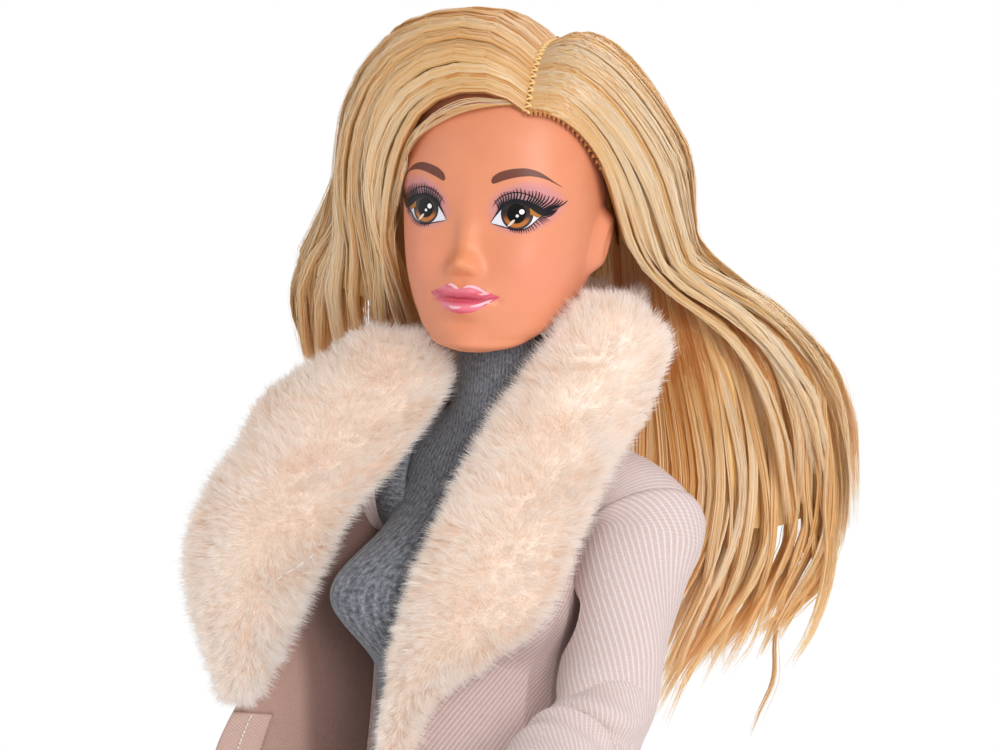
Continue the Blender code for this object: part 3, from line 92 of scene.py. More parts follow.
# Studio: a round pale table that fades into a white background, a large soft lamp at the doll's left front,
# a weaker one at its right, and one behind that lights the edges of the hair and the fur.
class Sum:
    """A shader socket written as a number: each operator adds the Math node that it stands for."""

    def __init__(self, tree, socket):
        self.tree, self.socket = tree, socket

    def node(self, kind, settings, values, output=0):
        """Any node: its settings are set first, then a value or a link for each of its sockets."""
        node = self.tree.nodes.new(kind)
        for key, value in settings.items():
            if key == "stops":
                ramp = node.color_ramp
                for _ in value[2:]:
                    ramp.elements.new(0.5)
                for stop, (at, colour) in zip(ramp.elements, value):
                    stop.position, stop.color = at, (*colour, 1)
            else:
                setattr(node, key, value)
        for key, value in values.items():
            socket = node.inputs[key]
            if isinstance(value, Sum):
                self.tree.links.new(value.socket, socket)
            elif isinstance(value, tuple) and len(value) == 3 and len(socket.default_value) == 4:
                socket.default_value = (*value, 1)
            else:
                socket.default_value = value
        return Sum(self.tree, node.outputs[output])

    def math(self, operation, *others):
        return self.node("ShaderNodeMath", {"operation": operation}, dict(enumerate((self, *others))))

    def __add__(self, other):
        return self.math("ADD", other)

    def __sub__(self, other):
        return self.math("SUBTRACT", other)

    def __mul__(self, other):
        return self.math("MULTIPLY", other)

    def __truediv__(self, other):
        return self.math("DIVIDE", other)

    def __pow__(self, other):
        return self.math("POWER", other)

    def __rsub__(self, other):
        return (self * -1) + other

    __radd__, __rmul__ = __add__, __mul__

    def ramp(self, low, high):
        """0 below low and 1 above high, smooth between them."""
        return self.node("ShaderNodeMapRange", {"interpolation_type": "SMOOTHSTEP"},
                         {"Value": self, "From Min": low, "From Max": high})

    def mix(self, low, high):
        """A colour between two, with this socket as the share of the second."""
        return self.node("ShaderNodeMix", {"data_type": "RGBA"}, {0: self, 6: low, 7: high}, 2)

    def parts(self):
        """The x, y and z of a vector."""
        split = self.node("ShaderNodeSeparateXYZ", {}, {0: self}).socket.node
        return [Sum(self.tree, socket) for socket in split.outputs]


def finish_named(name):
    """A new material, its Principled shader and its Object coordinates in doll millimetres."""
    material = bpy.data.materials.new(name)
    material.use_nodes = True
    tree = material.node_tree
    place = Sum(tree, tree.nodes.new("ShaderNodeTexCoord").outputs["Object"])
    place = place.node("ShaderNodeMapping", {},
                       {0: place, "Location": tuple(-CENTRE / MM), "Scale": (1000,) * 3})
    return material, tree.nodes["Principled BSDF"], place


def connect(shader, **values):
    """Sets a shader's sockets from numbers, colours or sums; an underscore in a name stands for a space."""
    for key, value in values.items():
        socket = shader.inputs[key.replace("_", " ")]
        if isinstance(value, Sum):
            value.tree.links.new(value.socket, socket)
        else:
            socket.default_value = (*value, 1) if key == "Base_Color" else value


def tint(red, green, blue):
    """A colour as it is seen on a screen, 0 to 255, made linear."""
    return tuple(
        ((c / 255 + 0.055) / 1.055) ** 2.4 if c > 10 else c / 255 / 12.92 for c in (red, green, blue)
    )


TABLE_RADIUS, TABLE_CLEAR_RADIUS, TABLE_SIDES = 900, 200, 96
# The table lies this far below the soles
TABLE_DROP = 0.02
turns = np.linspace(0, math.tau, TABLE_SIDES + 1)[:-1]
table_mesh = bpy.data.meshes.new("table")
rim = TABLE_RADIUS * MM * np.column_stack([np.cos(turns), np.sin(turns), 0 * turns])
rim = CENTRE + rim - np.array((0, 0, TABLE_DROP * MM))
table_mesh.from_pydata(rim.tolist(), [], [list(range(TABLE_SIDES))])
table = bpy.data.objects.new("table", table_mesh)
bpy.context.collection.objects.link(table)
table_finish, table_shader, table_place = finish_named("pale_table")
connect(table_shader, Base_Color=tint(243, 243, 243), Roughness=0.7)
x, y, _ = table_place.parts()
table_fade = (x * x + y * y).math("SQRT").ramp(TABLE_CLEAR_RADIUS, TABLE_RADIUS * 0.9)
glow = table_fade.node("ShaderNodeEmission", {}, {"Color": (1, 1, 1)})
solid = Sum(table_fade.tree, table_shader.outputs[0])
faded = table_fade.node("ShaderNodeMixShader", {}, {0: table_fade, 1: solid, 2: glow})
table_fade.tree.links.new(faded.socket, table_finish.node_tree.nodes["Material Output"].inputs["Surface"])
table_mesh.materials.append(table_finish)

world = bpy.data.worlds.new("studio")
world.use_nodes = True
bpy.context.scene.world = world
sky = world.node_tree.nodes["Background"]
rays = Sum(world.node_tree, world.node_tree.nodes.new("ShaderNodeLightPath").outputs["Is Camera Ray"])
AMBIENT = 0.42
world.node_tree.links.new((rays * (1 - AMBIENT) + AMBIENT).socket, sky.inputs["Strength"])
sky.inputs["Color"].default_value = (1, 1, 1, 1)


def soft_lamp(name, place, size, power):
    """A square soft lamp, size across, that points at the doll's chest; millimetres and watts."""
    light = bpy.data.lights.new(name, "AREA")
    light.size, light.energy = size * MM, power
    lamp = bpy.data.objects.new(name, light)
    bpy.context.collection.objects.link(lamp)
    at = CENTRE + np.array(place) * MM
    toward = AIM - at
    lamp.matrix_world = Matrix.Translation(at.tolist()) @ (
        Vector(toward.tolist()).to_track_quat("-Z", "Y").to_matrix()
    ).to_4x4()


soft_lamp("key_lamp", (820, -700, 700), 600, 9.0)
soft_lamp("fill_lamp", (-950, -500, 350), 900, 1.6)
soft_lamp("hair_lamp", (100, 700, 900), 600, 4.0)


# Head: rotocast in soft tan vinyl and pressed over the neck's flange. The brows, eye sockets, nose and lips
# are moulded shallow, and the face is printed on them.
def piece(name, points, faces, finish, corners=None):
    """A mesh from points in millimetres about the centre line; corners are texture places, face by face."""
    mesh = bpy.data.meshes.new(name)
    sides = faces.shape[1]
    mesh.vertices.add(points.size // 3)
    mesh.loops.add(faces.size)
    mesh.polygons.add(len(faces))
    mesh.vertices.foreach_set("co", (points.reshape(-1, 3) * MM + CENTRE).astype(np.float32).reshape(-1))
    mesh.loops.foreach_set("vertex_index", faces.astype(np.int32).reshape(-1))
    mesh.polygons.foreach_set("loop_start", np.arange(0, faces.size, sides, dtype=np.int32))
    mesh.update(calc_edges=True)
    if corners is not None:
        mesh.uv_layers.new(name="length").data.foreach_set("uv", corners.reshape(-1).astype(np.float32))
    mesh.shade_smooth()
    mesh.materials.append(finish)
    thing = bpy.data.objects.new(name, mesh)
    bpy.context.collection.objects.link(thing)
    return thing


def grid_faces(rows, columns, closed=False):
    """Corner numbers of the quads of a grid, row by row; closed joins the last column to the first."""
    index = np.arange(rows * columns).reshape(rows, columns)
    if closed:
        index = np.column_stack([index, index[:, 0]])
    return np.stack([index[:-1, :-1], index[:-1, 1:], index[1:, 1:], index[1:, :-1]], -1).reshape(-1, 4)


def surface(name, points, finish, closed=False):
    """A skin through a grid of points, with its lengths along and across in millimetres as texture places."""
    rows, columns = points.shape[:2]
    round_points = np.concatenate([points, points[:, :1]], 1) if closed else points
    across = np.linalg.norm(np.diff(round_points[rows // 2], axis=0), axis=1).cumsum()
    along = np.linalg.norm(np.diff(points[:, columns // 2], axis=0), axis=1).cumsum()
    places = np.stack(np.meshgrid(np.r_[0, across], np.r_[0, along]), -1)
    corners = places.reshape(-1, 2)[grid_faces(*places.shape[:2])]
    return piece(name, points, grid_faces(rows, columns, closed), finish, corners)


def smooth_rows(at, table):
    """Smooth curves through a table's rows: the first column is the key, the others come back as arrays."""
    keys, values = np.array(table, float)[:, 0], np.array(table, float)[:, 1:]
    slopes = np.gradient(values, keys, axis=0)
    at = np.clip(np.asarray(at, float), keys[0], keys[-1])
    row = np.clip(np.searchsorted(keys, at) - 1, 0, len(keys) - 2)
    span = keys[row + 1] - keys[row]
    t = ((at - keys[row]) / span)[..., None]
    span = span[..., None]
    rise = t * t * (3 - 2 * t)
    level = (1 - rise) * values[row] + rise * values[row + 1]
    bend = t * (1 - t) ** 2 * slopes[row] + t * t * (t - 1) * slopes[row + 1]
    return np.moveaxis(level + span * bend, -1, 0)


CHIN_Z = 246
HEAD_HEIGHT, HEAD_HALF_WIDTH = 40.3, 12.8
# Height, half width, front, back and centre of the head's sections
HEAD_SHARES = (
    (0.000, 0.16, 0.12, 0.12, -0.84), (0.012, 0.34, 0.24, 0.26, -0.80), (0.050, 0.56, 0.46, 0.48, -0.62),
    (0.124, 0.76, 0.72, 0.72, -0.38), (0.223, 0.89, 0.90, 0.94, -0.20), (0.347, 0.96, 0.98, 1.08, -0.10),
    (0.447, 0.99, 1.00, 1.16, -0.06), (0.595, 1.00, 1.00, 1.19, -0.04), (0.744, 0.93, 0.93, 1.12, -0.02),
    (0.868, 0.76, 0.75, 0.90, 0.02), (0.955, 0.47, 0.46, 0.56, 0.08), (1.000, 0.05, 0.05, 0.06, 0.12),
)
# How square the face's sections are: 2 is an ellipse
FACE_SQUARENESS_SHARES = ((0.0, 2.0), (0.15, 2.3), (0.35, 2.75), (0.5, 2.85), (0.7, 2.4), (1.0, 2.0))
# Modelled features: x and z above the chin, width, height and rise in millimetres, on both sides where x
# isn't 0
FACE_FEATURES = (
    (0.0, 11.85, 1.60, 1.40, 2.45), (0.0, 14.8, 1.5, 2.8, 1.10), (0.0, 19.0, 2.2, 3.0, 0.35),
    (1.70, 11.1, 0.95, 0.9, 0.80), (0.85, 10.15, 0.42, 0.30, -0.22), (5.6, 17.6, 3.0, 2.3, -0.55),
    (6.4, 17.5, 2.4, 1.9, 0.45), (0.0, 23.6, 7.0, 4.2, 0.95), (7.4, 11.0, 3.0, 3.2, 0.55),
    (0.0, 7.4, 4.2, 3.0, 1.5), (0.9, 8.35, 1.1, 0.62, 0.42), (2.4, 7.7, 1.2, 0.55, 0.30),
    (0.0, 5.7, 1.9, 0.85, 0.80), (0.0, 6.95, 3.4, 0.26, -0.50), (4.5, 7.1, 0.7, 0.6, -0.28),
    (0.0, 9.5, 0.55, 0.7, -0.22), (0.0, 3.7, 2.4, 0.8, -0.40), (0.0, 1.5, 2.8, 1.7, 0.75),
)
EAR_Y, EAR_Z = 1.0, 14.5
EAR_HALF_WIDTH, EAR_HALF_HEIGHT, EAR_RISE, EAR_LEAN = 2.3, 4.2, 1.7, 0.25
# An ear grows only where the head's surface is at least this far from the middle
EAR_LEAST_X = 8


def face_rise(x, z):
    """Sum of the modelled features: each is a bell over the face."""
    rise = np.zeros(np.broadcast(x, z).shape)
    for at_x, at_z, wide, tall, height in FACE_FEATURES:
        for side in (1, -1) if at_x else (1,):
            rise += height * np.exp(-(((x - side * at_x) / wide) ** 2) - ((z - at_z) / tall) ** 2)
    return rise


def face_depth(x, z):
    """Depth y of the face at x and z: a squared oval section, brought forward by the features."""
    half, front, _, centre = smooth_rows(z / HEAD_HEIGHT, HEAD_SHARES)
    power, = smooth_rows(z / HEAD_HEIGHT, FACE_SQUARENESS_SHARES)
    side = np.clip(np.abs(x) / (half * HEAD_HALF_WIDTH), 0, 1)
    return HEAD_HALF_WIDTH * (centre - front * (1 - side**power) ** (1 / power)) - face_rise(x, z)


def head_skin(share, turn, lift=0):
    """A point of the scalp or face: turn is 0 at the nose and a quarter turn at the doll's left ear."""
    half, front, back, centre = smooth_rows(share, HEAD_SHARES) * HEAD_HALF_WIDTH
    power, = smooth_rows(share, FACE_SQUARENESS_SHARES)
    ahead_of_ear = np.cos(turn) > 0
    power = np.where(ahead_of_ear, power, 2)
    side = np.abs(np.sin(turn)) ** (2 / power) * np.sign(np.sin(turn))
    deep = np.abs(np.cos(turn)) ** (2 / power) * np.sign(np.cos(turn))
    x = (half + lift) * side
    y = centre - (np.where(ahead_of_ear, front, back) + lift) * deep
    z = share * HEAD_HEIGHT
    y = y - np.where(ahead_of_ear, face_rise(x, z) * np.clip(deep * 4, 0, 1), 0)
    return np.stack(np.broadcast_arrays(x, y, z + CHIN_Z), -1)


HEAD_ROWS, HEAD_COLUMNS = 210, 290
run = np.linspace(0, 1, HEAD_ROWS)
share = 0.8 * run + 0.2 * (1 - np.cos(math.pi * run)) / 2
turn = np.linspace(-math.pi, math.pi, HEAD_COLUMNS + 1)[:-1]
turn = turn - 0.5 * np.sin(turn)
share, turn = np.meshgrid(share, turn, indexing="ij")
head_points = head_skin(share, turn)
# The ears: a flat shell with a raised rim, leaning back, on each side
ear_y = head_points[..., 1] - EAR_Y - EAR_LEAN * (head_points[..., 2] - CHIN_Z - EAR_Z)
ear = np.hypot(ear_y / EAR_HALF_WIDTH, (head_points[..., 2] - CHIN_Z - EAR_Z) / EAR_HALF_HEIGHT)
ear_rise = EAR_RISE * np.exp(-((ear / 0.95) ** 6)) * (1 - 0.55 * np.exp(-((ear / 0.55) ** 2)))
head_points[..., 0] += ear_rise * np.sign(head_points[..., 0]) * (np.abs(head_points[..., 0]) > EAR_LEAST_X)
head_points[..., 1] += 0.6 * ear_rise * (np.abs(head_points[..., 0]) > EAR_LEAST_X)

vinyl, vinyl_shader, place = finish_named("tan_vinyl")
x, y, z = place.parts()
mottle = place.node("ShaderNodeTexNoise", {}, {"Vector": place, "Scale": 0.35, "Detail": 3.0})
pores = place.node("ShaderNodeTexNoise", {}, {"Vector": place, "Scale": 9.0, "Detail": 2.0})
skin = mottle.mix(tint(232, 146, 108), tint(240, 156, 118))
# Warmer on the nose and under it, pinker on the cheeks
nose_glow = (x * x * 0.16 + (z - 258.5) * (z - 258.5) * 0.12).math("MULTIPLY", -1).math("EXPONENT")
skin = skin.node("ShaderNodeMix", {"data_type": "RGBA"},
                 {0: nose_glow * 0.45, 6: skin, 7: tint(238, 150, 92)}, 2)
cheek_x = x.math("ABSOLUTE") - 9
blush = (cheek_x * cheek_x * 0.05 + (z - 257) * (z - 257) * 0.04).math("MULTIPLY", -1).math("EXPONENT")
skin = skin.node("ShaderNodeMix", {"data_type": "RGBA"},
                 {0: blush * 0.45, 6: skin, 7: tint(244, 150, 125)}, 2)
# Eye shadow printed as a soft cloud between the brow and the lower lid
shade_x = x.math("ABSOLUTE") - 7.1
shade_z = z - 265.2 - shade_x * 0.16
cloud = (shade_x * shade_x * 0.052 + shade_z * shade_z * 0.092).ramp(1.30, 0.50)
front = y.ramp(-5.5, -8.5)
skin = skin.node("ShaderNodeMix", {"data_type": "RGBA"},
                 {0: cloud * front * 0.72, 6: skin, 7: tint(208, 142, 158)}, 2)
connect(vinyl_shader, Base_Color=skin, Roughness=0.43, Specular_IOR_Level=0.42, Subsurface_Weight=0.12,
        Subsurface_Radius=(1.0, 0.45, 0.25), Subsurface_Scale=1.0 * MM,
        Normal=pores.node("ShaderNodeBump", {}, {"Height": pores, "Strength": 0.05, "Distance": 0.02 * MM}))
head = surface("head_skin", head_points, vinyl, closed=True)
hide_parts("head")
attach(head, "head")


# Face print: flat inks stamped on the vinyl in layers. Each eye has a white, a brown iris with a large pupil,
# two glints, a thick lid line that ends in a wing, a thin crease and drawn lashes. Each brow is one flat
# brown stroke.
INK_LIFT, FIRST_LIFT = 0.018, 0.02
STROKE_STEPS = 14


def printed(name, x, z, layer, finish):
    """A film of ink over the face: a grid of places x and z in millimetres, lifted by its layer."""
    depth = face_depth(x, z - CHIN_Z) - FIRST_LIFT - INK_LIFT * layer
    points = np.stack(np.broadcast_arrays(x, depth, z), -1)
    film = surface(name, points, finish)
    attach(film, "head")
    return film


def between(low, high, side, rows=9, columns=60):
    """Places x and z between two outlines given as (x, z) rows, on the side's half of the face."""
    run = np.linspace(0, 1, columns)
    edges = []
    for outline in (low, high):
        outline = np.array(outline, float)
        keys = np.linspace(0, 1, len(outline))
        edges.append(smooth_rows(run, np.column_stack([keys, outline])))
    share = np.linspace(0, 1, rows)[:, None]
    x, z = (edges[0][k] + share * (edges[1][k] - edges[0][k]) for k in (0, 1))
    return side * x, z + CHIN_Z


def strokes(name, paths, width, layer, finish, side):
    """Drawn lines: each path's (x, z) points carry a ribbon of ink. It narrows to its last point by the share
    taper, or to both ends where taper is negative."""
    parts, faces = [], []
    for number, (path, taper) in enumerate(paths):
        keys = np.linspace(0, 1, len(path))
        run = np.linspace(0, 1, STROKE_STEPS)
        x, z = smooth_rows(run, np.column_stack([keys, path]))
        along = np.stack([np.gradient(x), np.gradient(z)])
        along /= np.linalg.norm(along, axis=0)
        half = 0.5 * width * (1 - taper * run**1.5) + 0.004
        if taper < 0:
            half = 0.5 * width * np.clip(np.sin(math.pi * run) ** 0.5, 0.12, 1)
        x = x + np.stack([-1, 1])[:, None] * along[1] * half
        z = z + np.stack([1, -1])[:, None] * along[0] * half
        parts.append(np.stack([side * x, z + CHIN_Z], -1))
        faces.append(grid_faces(2, STROKE_STEPS) + 2 * STROKE_STEPS * number)
    flat = np.concatenate([part.reshape(-1, 2) for part in parts])
    depth = face_depth(flat[:, 0], flat[:, 1] - CHIN_Z) - FIRST_LIFT - INK_LIFT * layer
    film = piece(name, np.column_stack([flat[:, 0], depth, flat[:, 1]]), np.concatenate(faces), finish)
    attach(film, "head")


def ink(name, colour, roughness=0.35, other=None, grain=0.6):
    """A flat ink whose colour wanders a little, as a stamped film does."""
    finish, shader, place = finish_named(name)
    cloud = place.node("ShaderNodeTexNoise", {}, {"Vector": place, "Scale": grain, "Detail": 2.0})
    connect(shader, Base_Color=cloud.mix(colour, other or colour), Roughness=roughness,
            Specular_IOR_Level=0.3)
    return finish


def disc(centre, radius, side, rings=8, columns=48, tall=1.0):
    """Places of a round print, ring by ring, from its middle out."""
    turn = np.linspace(0, math.tau, columns + 1)
    size = np.linspace(0.02, 1, rings)[:, None] * radius
    return side * (centre[0] + size * np.cos(turn)), centre[1] + tall * size * np.sin(turn) + CHIN_Z


white_ink = ink("eye_white_ink", tint(242, 240, 244), other=tint(228, 228, 236))
glint_ink = ink("glint_ink", tint(255, 255, 255))
black_ink = ink("lash_ink", tint(20, 17, 22), 0.3, tint(28, 24, 30))
pupil_ink = ink("pupil_ink", tint(9, 8, 9), 0.25)
caramel_ink = ink("caramel_ink", tint(188, 120, 48), other=tint(176, 108, 42))
streak_ink = ink("streak_ink", tint(238, 222, 205))
brow_ink = ink("brow_ink", tint(122, 70, 56), 0.4, tint(110, 62, 50))
lid_ink = ink("lid_glow_ink", tint(212, 158, 164), 0.4, tint(200, 144, 152))

iris_ink, iris_shader, iris_place = finish_named("iris_ink")
IRIS, IRIS_RADIUS, PUPIL_RADIUS = (6.42, 18.32), 2.02, 1.18
x, y, z = iris_place.parts()
from_centre_x = x.math("ABSOLUTE") - IRIS[0]
from_centre_z = z - (IRIS[1] + CHIN_Z)
reach = (from_centre_x * from_centre_x + from_centre_z * from_centre_z).math("SQRT") / IRIS_RADIUS
brown = reach.node("ShaderNodeValToRGB", {"stops": [
    (0.50, tint(40, 24, 18)), (0.64, tint(96, 56, 34)), (0.80, tint(96, 56, 34)), (0.88, tint(54, 44, 46)),
    (1.0, tint(46, 44, 52))]}, {0: reach})
low_arc = from_centre_z.ramp(-0.1, -1.1) * reach.ramp(0.52, 0.66) * reach.ramp(0.90, 0.80)
brown = low_arc.node("ShaderNodeMix", {"data_type": "RGBA"},
                     {0: low_arc * 0.85, 6: brown, 7: tint(206, 122, 50)}, 2)
upper_shade = from_centre_z.ramp(-0.85, 0.35)
brown = upper_shade.node("ShaderNodeMix", {"data_type": "RGBA"},
                         {0: upper_shade * 0.85, 6: brown, 7: tint(14, 12, 14)}, 2)
connect(iris_shader, Base_Color=brown, Roughness=0.3)

LOWER_LID = ((3.14, 17.03), (3.9, 16.84), (4.72, 16.66), (5.82, 16.40), (6.7, 16.30), (7.51, 16.48),
             (8.2, 16.92), (8.98, 17.80), (9.36, 18.27))
LID_LINE_LOW = ((3.14, 17.03), (3.55, 17.68), (4.07, 18.35), (4.78, 19.15), (5.67, 19.61), (6.7, 19.78),
                (7.69, 19.51), (8.21, 19.07), (8.8, 18.59), (9.36, 18.27), (9.82, 18.20), (10.4, 18.5),
                (11.05, 19.35))
LID_LINE_TOP = ((3.10, 17.10), (3.60, 18.0), (4.15, 19.0), (4.75, 19.72), (5.6, 20.12), (6.5, 20.30),
                (7.69, 20.12), (8.4, 19.82), (9.0, 19.50), (9.66, 19.08), (10.1, 18.95), (10.55, 19.0),
                (11.08, 19.38))
WHITE_TOP = ((3.14, 17.03), (3.55, 17.68), (4.07, 18.35), (4.78, 19.15), (5.9, 19.7), (7.2, 19.65),
             (8.0, 19.2), (8.7, 18.66), (9.36, 18.27))
CARAMEL_TOP = ((8.0, 19.22), (8.5, 18.82), (9.0, 18.46), (9.38, 18.27))
CARAMEL_LOW = ((8.1, 18.35), (8.5, 18.22), (8.9, 17.98), (9.38, 18.27))
LID_CREASE = ((3.36, 19.04), (3.78, 19.79), (4.43, 20.41), (5.35, 20.93), (6.48, 21.16), (7.54, 21.01),
              (8.62, 20.53), (9.64, 19.73))
WING_LOW = ((9.3, 18.2), (9.7, 18.05), (10.3, 18.3), (10.9, 19.0))
# Share of the way along the upper lid, and how far its lash leans outward in degrees
LASH_LEANS = ((0.0, -24), (0.25, -6), (0.5, 10), (0.7, 28), (0.85, 42), (1.0, 52))
BROW_LOW = ((3.25, 22.38), (3.5, 22.16), (4.15, 22.36), (5.05, 22.72), (6.61, 23.15), (8.18, 23.27),
            (9.67, 22.9), (11.13, 21.96))
BROW_TOP = ((3.25, 22.62), (3.5, 23.10), (4.15, 23.60), (5.0, 23.95), (6.3, 24.22), (7.6, 24.24),
            (9.1, 23.70), (11.18, 21.98))

for name, side in (("left", 1), ("right", -1)):
    printed(f"eye_white_{name}", *between(LOWER_LID, WHITE_TOP, side), 1, white_ink)
    printed(f"lid_glow_{name}", *between(LID_LINE_TOP[2:-3], LID_CREASE[1:-1], side, rows=5), 1, lid_ink)
    printed(f"iris_{name}", *disc(IRIS, IRIS_RADIUS, side), 2, iris_ink)
    corner = between(CARAMEL_LOW, CARAMEL_TOP, side, rows=5, columns=16)
    printed(f"eye_corner_{name}", *corner, 3, caramel_ink)
    printed(f"pupil_{name}", *disc((IRIS[0], IRIS[1] + 0.12), PUPIL_RADIUS, side, tall=1.08), 3, pupil_ink)
    printed(f"lid_line_{name}", *between(LID_LINE_LOW, LID_LINE_TOP, side), 4, black_ink)
    printed(f"brow_{name}", *between(BROW_LOW, BROW_TOP, side), 1, brow_ink)
    # The glints and the streak sit on the same side of both eyes
    shift = IRIS[0] if side > 0 else -IRIS[0]
    printed(f"glint_large_{name}", *disc((shift + 0.68, IRIS[1] + 0.36), 0.33, 1, 4, 20), 5, glint_ink)
    printed(f"glint_small_{name}", *disc((shift + 0.14, IRIS[1] - 0.20), 0.19, 1, 4, 16), 5, glint_ink)
    streak = ((shift - 0.15, 17.62), (shift - 0.5, 17.25), (shift - 1.02, 16.72))
    strokes(f"eye_streak_{name}", [(streak, -1)], 0.34, 5, streak_ink, 1)
    lid = np.array(LID_LINE_TOP[2:-2], float)
    lashes = []
    for k, t in enumerate(np.linspace(0.0, 1.0, 23)):
        root = np.array([np.interp(t * (len(lid) - 1), np.arange(len(lid)), lid[:, c]) for c in (0, 1)])
        lean_angle = math.radians(np.interp(t, *np.transpose(LASH_LEANS)))
        lean = np.array((math.sin(lean_angle), math.cos(lean_angle)))
        long = 1.15 + 0.85 * t**1.5 + 0.10 * math.sin(5.0 * k)
        bend = np.array((0.09 + 0.05 * t, 0.0)) * long
        lashes.append(((root - 0.12 * lean, root + 0.5 * long * lean + bend, root + long * lean), 0.72))
    strokes(f"lashes_upper_{name}", lashes, 0.20, 8, black_ink, side)
    lid = np.array(LOWER_LID[3:], float)
    lashes = []
    for k, t in enumerate(np.linspace(0.0, 0.98, 17)):
        root = np.array([np.interp(t * (len(lid) - 1), np.arange(len(lid)), lid[:, c]) for c in (0, 1)])
        lean = np.array((-0.25 + 1.25 * t, -1.0 + 0.25 * t))
        lean /= np.linalg.norm(lean)
        long = 0.42 + 0.75 * t**1.3 + 0.06 * math.sin(4.0 * k)
        lashes.append(((root + 0.05 * lean, root + 0.5 * long * lean + (0.04, 0.0), root + long * lean), 1))
    strokes(f"lashes_lower_{name}", lashes, 0.12, 6, black_ink, side)
    lines = [(path, -1) for path in (LID_CREASE, LOWER_LID, WING_LOW)]
    strokes(f"lid_lines_{name}", lines, 0.14, 5, black_ink, side)

# Lips: glossy pink ink over the moulded lips, darker in the mouth line, with painted pale lights
LIP_TOP = ((-4.85, 7.62), (-3.5, 8.22), (-2.3, 8.80), (-1.35, 9.05), (-0.6, 8.80), (0.0, 8.52), (0.6, 8.80),
           (1.35, 9.05), (2.3, 8.80), (3.5, 8.22), (4.85, 7.62))
LIP_LOW = ((-4.75, 7.42), (-3.9, 6.92), (-2.8, 6.05), (-1.7, 5.50), (-0.6, 5.30), (0.0, 5.28), (0.6, 5.30),
           (1.7, 5.50), (2.8, 6.05), (3.9, 6.92), (4.75, 7.42))
MOUTH = ((-4.7, 7.52), (-3.2, 7.32), (-1.6, 7.35), (-0.6, 7.38), (0.0, 7.18), (0.6, 7.38), (1.6, 7.35),
         (3.2, 7.32), (4.7, 7.52))
lip_ink, lip_shader, lip_place = finish_named("lip_ink")
x, y, z = lip_place.parts()
mouth_z = z - (CHIN_Z + 7.3)
line_shade = (mouth_z * mouth_z * 5.0).math("MULTIPLY", -1).math("EXPONENT")
line_shade = line_shade * x.math("ABSOLUTE").ramp(4.9, 2.0)
pale = (mouth_z.math("ABSOLUTE") - 1.15).math("ABSOLUTE").ramp(0.7, 0.0)
lip_colour = pale.mix(tint(226, 92, 112), tint(240, 130, 145))
lip_colour = line_shade.node("ShaderNodeMix", {"data_type": "RGBA"},
                             {0: line_shade * 0.75, 6: lip_colour, 7: tint(196, 62, 86)}, 2)
connect(lip_shader, Base_Color=lip_colour, Roughness=0.2, Specular_IOR_Level=0.5, Coat_Weight=0.35,
        Coat_Roughness=0.1)
lip_light_ink = ink("lip_light_ink", tint(255, 212, 218), 0.2, tint(255, 190, 202))
mouth_ink = ink("mouth_ink", tint(176, 62, 80), 0.3)
printed("lips", *between(LIP_LOW, LIP_TOP, 1, rows=24, columns=90), 1, lip_ink)
strokes("mouth_line", [(MOUTH, -1)], 0.13, 2, mouth_ink, 1)
strokes("lip_lights", [
    (((-1.9, 8.82), (-1.35, 8.92), (-0.6, 8.66), (-0.1, 8.46)), -1),
    (((0.5, 8.62), (1.3, 8.86), (2.2, 8.66), (3.3, 8.12)), -1),
    (((-1.5, 6.15), (-0.6, 6.02), (0.5, 6.12)), -1),
    (((1.5, 6.22), (2.6, 6.5), (4.0, 7.18)), -1)], 0.34, 3, lip_light_ink, 1)


# Hair: golden fibre rooted in rows and parted on the doll's left. Each mass is a smooth sheet through guide
# curves. It carries a packed under-layer and thousands of fine ribbons, gathered in locks that wave as they
# fall.
HAIR_RIGHT_GUIDES = (
    ((6.3, -11.2, 277.6), (2.5, -12.6, 279.6), (-3.0, -13.4, 279.4), (-8.0, -12.6, 276.6),
     (-11.6, -10.6, 271.0), (-13.2, -8.4, 264.0), (-13.8, -5.0, 256.0), (-14.0, 0.5, 248.5),
     (-13.0, 6.0, 241.0)),
    ((5.6, -8.0, 281.6), (1.5, -10.6, 284.2), (-5.0, -12.0, 284.4), (-11.5, -12.2, 280.6),
     (-15.6, -10.8, 273.4), (-17.2, -8.2, 265.0), (-16.8, -4.6, 256.6), (-18.0, 0.5, 249.0),
     (-19.0, 6.0, 241.0)),
    ((4.8, -4.0, 284.4), (0.5, -6.2, 287.2), (-6.5, -8.0, 287.7), (-13.5, -9.4, 284.6), (-18.4, -9.2, 276.6),
     (-20.4, -7.0, 267.0), (-21.6, -3.6, 259.4), (-26.0, -0.5, 251.6), (-27.0, 4.0, 238.0)),
    ((4.2, 0.0, 285.8), (-0.5, -1.6, 288.8), (-7.5, -3.0, 289.0), (-14.5, -4.2, 286.0), (-19.4, -4.6, 278.0),
     (-22.0, -3.2, 268.0), (-27.2, 0.0, 260.5), (-31.6, 3.0, 253.0), (-30.0, 7.0, 236.0)),
    ((3.8, 4.0, 286.2), (-1.0, 3.4, 288.9), (-7.8, 3.0, 288.7), (-14.4, 2.4, 285.6), (-18.8, 2.2, 277.6),
     (-20.6, 3.4, 267.6), (-25.6, 5.8, 260.0), (-31.0, 9.0, 252.5), (-29.6, 12.0, 234.0)),
    ((3.4, 8.0, 285.4), (-1.0, 9.0, 288.0), (-7.0, 9.6, 287.2), (-12.6, 9.8, 283.0), (-16.4, 10.2, 275.0),
     (-18.2, 11.6, 265.6), (-21.0, 14.4, 257.6), (-26.0, 18.4, 249.6), (-26.0, 21.0, 228.0)),
)
